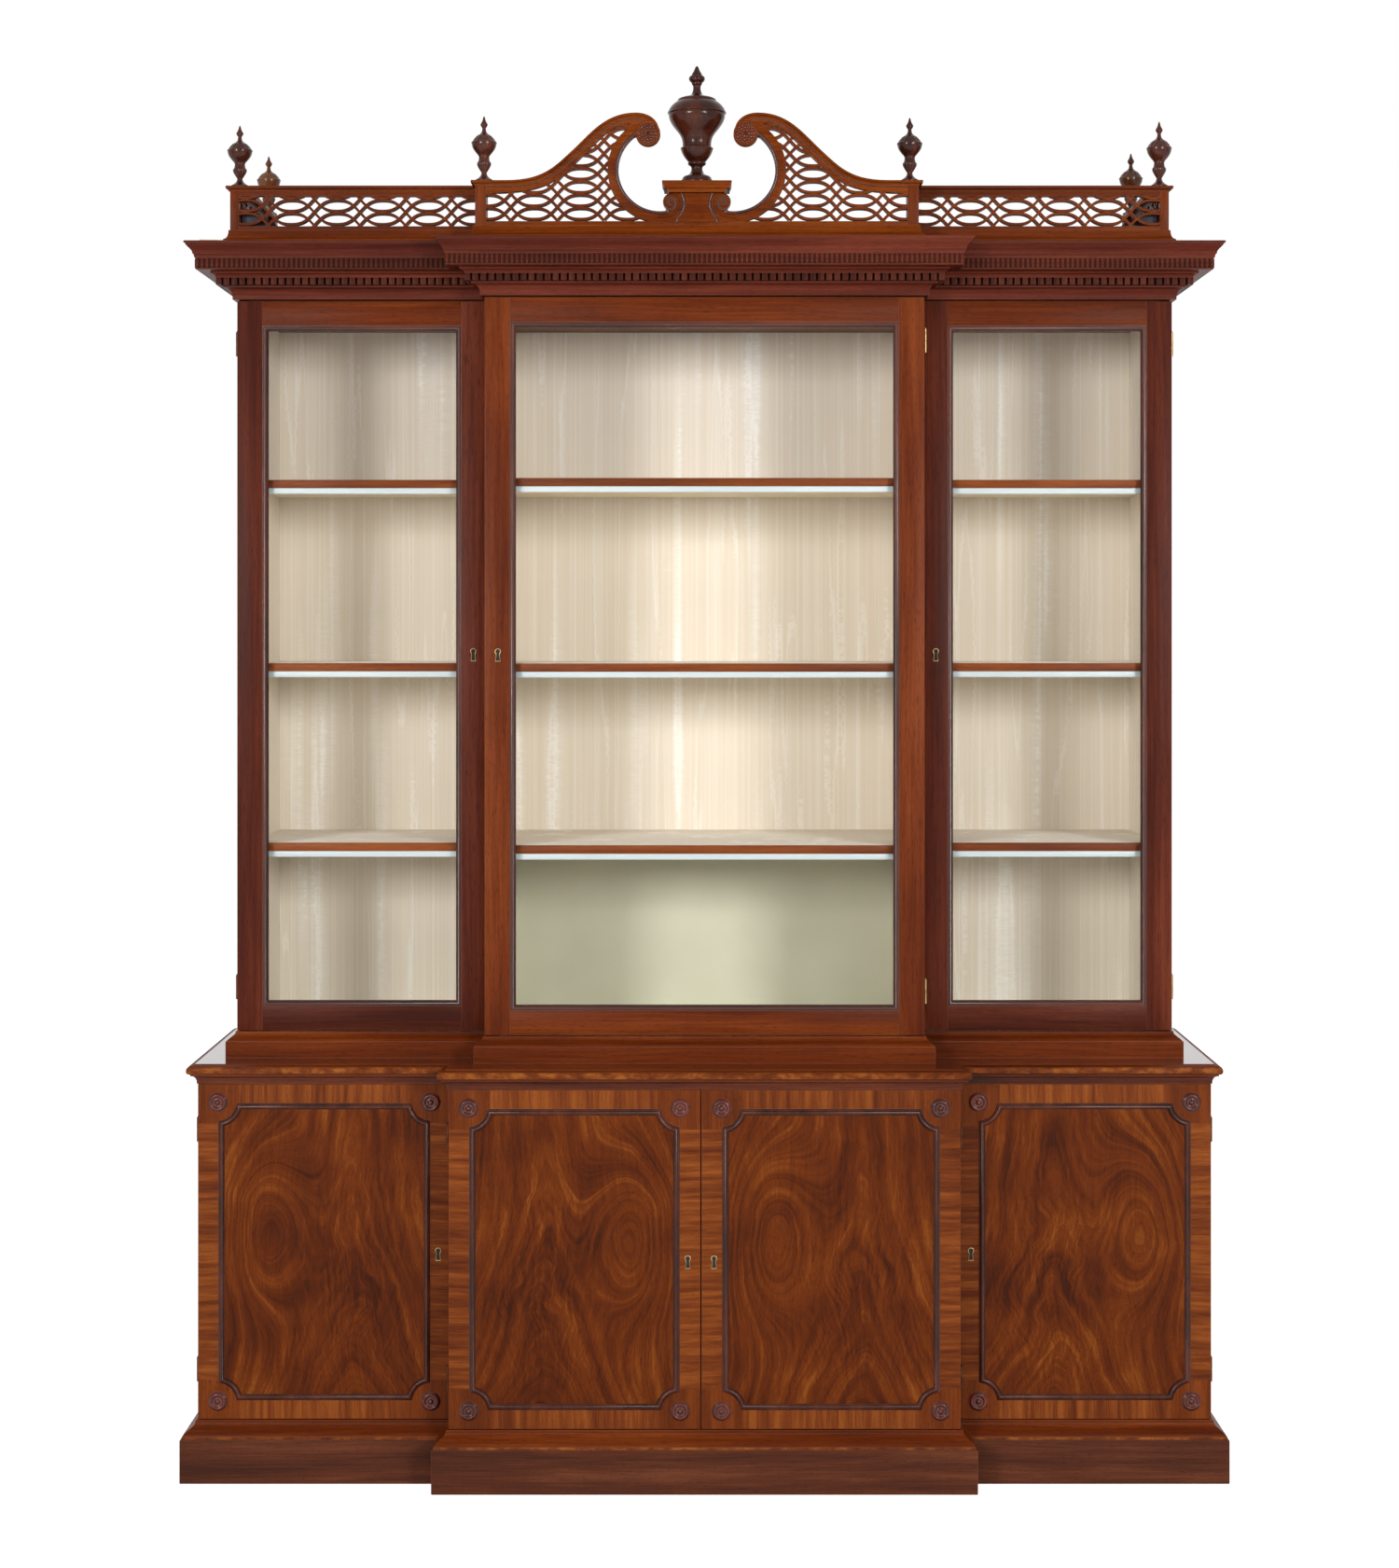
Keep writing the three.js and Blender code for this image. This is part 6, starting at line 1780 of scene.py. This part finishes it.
# %% Urn
URN = [
    [(0, 0), (31, 0)],
    [(31.4, 1), (31.8, 4), (30.2, 7.4)],
    [(28.6, 8), (28.2, 11), (25.4, 14)],
    [(23, 14.6), (16, 18), (12, 23.5), (11, 30), (12.6, 34)],
    [(14, 34.6), (17.2, 37), (17.8, 40), (16.8, 42.6)],
    [(17.4, 43), (23.8, 50.6), (28.8, 59), (32.2, 68.4)],
    [(32.2, 68.6), (31.4, 70), (28.6, 71)],
    [(28.2, 71.4), (28.2, 80), (30.4, 89.6), (34.8, 97.4), (40.4, 104.6), (46.2, 112), (51, 119.4),
     (54.2, 127.4), (55.2, 133), (55, 136.6)],
    [(54.6, 136.8), (57.5, 137.4), (57.4, 139.4)],
    [(57, 139.6), (54.4, 145.6), (50.2, 151.8), (44.8, 157), (39.4, 160.8)],
    [(38.8, 161), (36.6, 165.6), (29, 168.8), (20, 170.6), (12, 174.4), (8.8, 179.6), (7.5, 185.5),
     (7.6, 191), (9.4, 194.4)],
    [(10.2, 194.8), (10.4, 197.4)],
    [(10.4, 197.6), (14.4, 201.6), (15.8, 206), (14, 210.4), (10.6, 212.2)],
    [(10.4, 212.4), (9.4, 215.8), (6.8, 220), (4.6, 224.4), (2.8, 228.8), (0, 231.4)],
]
urn = turned(turner_curve(URN, 5), seat_of("urn"), 72)
build("urn_turning", [(urn, 0)], ["turned"], "dark_mahogany", "urn", smooth=50)

# %% Finials
FINIAL = [
    [(0, 0), (16.4, 0)],
    [(17.4, 0.6), (17.4, 3), (15, 5)],
    [(13, 6), (8, 10.5), (5.9, 14), (5.3, 18)],
    [(7.6, 21.5), (10, 25.5), (12.2, 29.5), (13.6, 33), (13.9, 37)],
    [(12.4, 38.6), (10.9, 42), (10.2, 48), (11.6, 52), (15, 56), (18.2, 60), (20.9, 64), (22.8, 68),
     (23.9, 72), (24.3, 75)],
    [(25, 75.4), (25, 77.6), (23.6, 79)],
    [(23, 79.6), (21.6, 82.5), (18.6, 86.2), (15.4, 89.8)],
    [(14.6, 90.4), (9.3, 93.8), (5.3, 97.6), (4, 101.4), (3.6, 106)],
    [(5.3, 108.4), (7.2, 112.6), (5.7, 116.4)],
    [(3.6, 120), (2.4, 124), (1.6, 127.6), (0, 130)],
]
FINIAL_HEIGHT = 130
CARVINGS = ((8, 0.13, 21, 38), (12, 0.1, 79, 92))
finial_heights = {"rear_left": 125, "corner_left": 123, "pediment_left": 129, "pediment_right": 126,
                  "corner_right": 131, "rear_right": 131}
for place, height in finial_heights.items():
    stretch = height / FINIAL_HEIGHT
    seat = seat_of(f"finial_{place}")
    part = turned([(radius, z * stretch) for radius, z in turner_curve(FINIAL, 4)], seat, 64)
    for lobes, depth, low, high in CARVINGS:
        part = carved(part, seat, lobes, depth, low * stretch, high * stretch)
    finish = "finial_pale" if place.startswith("rear") else "finial"
    build(f"finial_turning_{place}", [(part, 0)], [finish], "dark_mahogany", f"finial_{place}", smooth=50)

# %% [markdown]
# ## Studio
# Two soft lamps stand to the left and right of the camera, above head height. Their light crosses on the
# back of the bookcase, as in the photograph, and leaves a soft shadow under each shelf. A weaker one
# behind the camera fills the wings, and another lights the cabinet's back. Neither mirrors in the glass.
# A pale room fills the rest. Rays from the camera, and those that metal and glass send on, see a white
# background.

# %% Floor, lamps and world
FLOOR_HALF = 14
FLOOR_GLOW = 0.78
WHITE = (1, 1, 1, 1)
AIM = Vector((0, -0.1, 1.35))


def pale_rays(graph):
    """A mask for rays that come from the camera, or by way of metal and glass."""
    rays = graph.wires("ShaderNodeLightPath")
    seen = rays["Is Camera Ray"].maths("MAXIMUM", rays["Is Glossy Ray"])
    return seen.maths("MAXIMUM", rays["Is Transmission Ray"])


pale = Material("pale_floor")
floor_finish = pale.shade({"Base Color": (0.8, 0.8, 0.8, 1), "Roughness": 0.9, "Specular IOR Level": 0.0,
                           "Emission Color": WHITE, "Emission Strength": pale_rays(pale) * FLOOR_GLOW})
floor_mesh = bpy.data.meshes.new("floor")
floor_square = rectangle(-FLOOR_HALF, FLOOR_HALF, -FLOOR_HALF, FLOOR_HALF)
floor_mesh.from_pydata([(x, y, 0) for x, y in floor_square], [], [(0, 1, 2, 3)])
floor_mesh.materials.append(floor_finish)
placed("floor", floor_mesh)

world = bpy.data.worlds.new("studio")
scene.world = world
world.use_nodes = True
world.node_tree.nodes.clear()
sky = Graph(world.node_tree)
fill = sky.wire("ShaderNodeBackground", {"Color": WHITE, "Strength": 0.3})
white = sky.wire("ShaderNodeBackground", {"Color": WHITE, "Strength": 1.0})
room = sky.wire("ShaderNodeMixShader", {0: pale_rays(sky), 1: fill, 2: white})
sky.node("ShaderNodeOutputWorld", {"Surface": room})

studio = {
    "lamp_left": ((-3.1, -5.4, 2.4), 1.2, 166, True),
    "lamp_right": ((3.1, -5.4, 2.4), 1.2, 166, True),
    "lamp_middle": ((0, -5.9, 2.7), 1.6, 38, False),
    "lamp_behind": ((0.6, 5.0, 3.4), 1.6, 135, False),
}
for name, (place, size, power, mirrors) in studio.items():
    lamp_data = bpy.data.lights.new(name, "AREA")
    lamp_data.shape = "SQUARE"
    lamp_data.size = size
    lamp_data.energy = power
    lamp = placed(name, lamp_data)
    lamp.location = place
    lamp.visible_camera = False
    lamp.visible_glossy = mirrors
    lamp.visible_transmission = mirrors
    lamp.rotation_euler = (AIM - Vector(place)).to_track_quat("-Z", "Y").to_euler()

scene.view_settings.view_transform = "Standard"
print("Lamps and room are set")
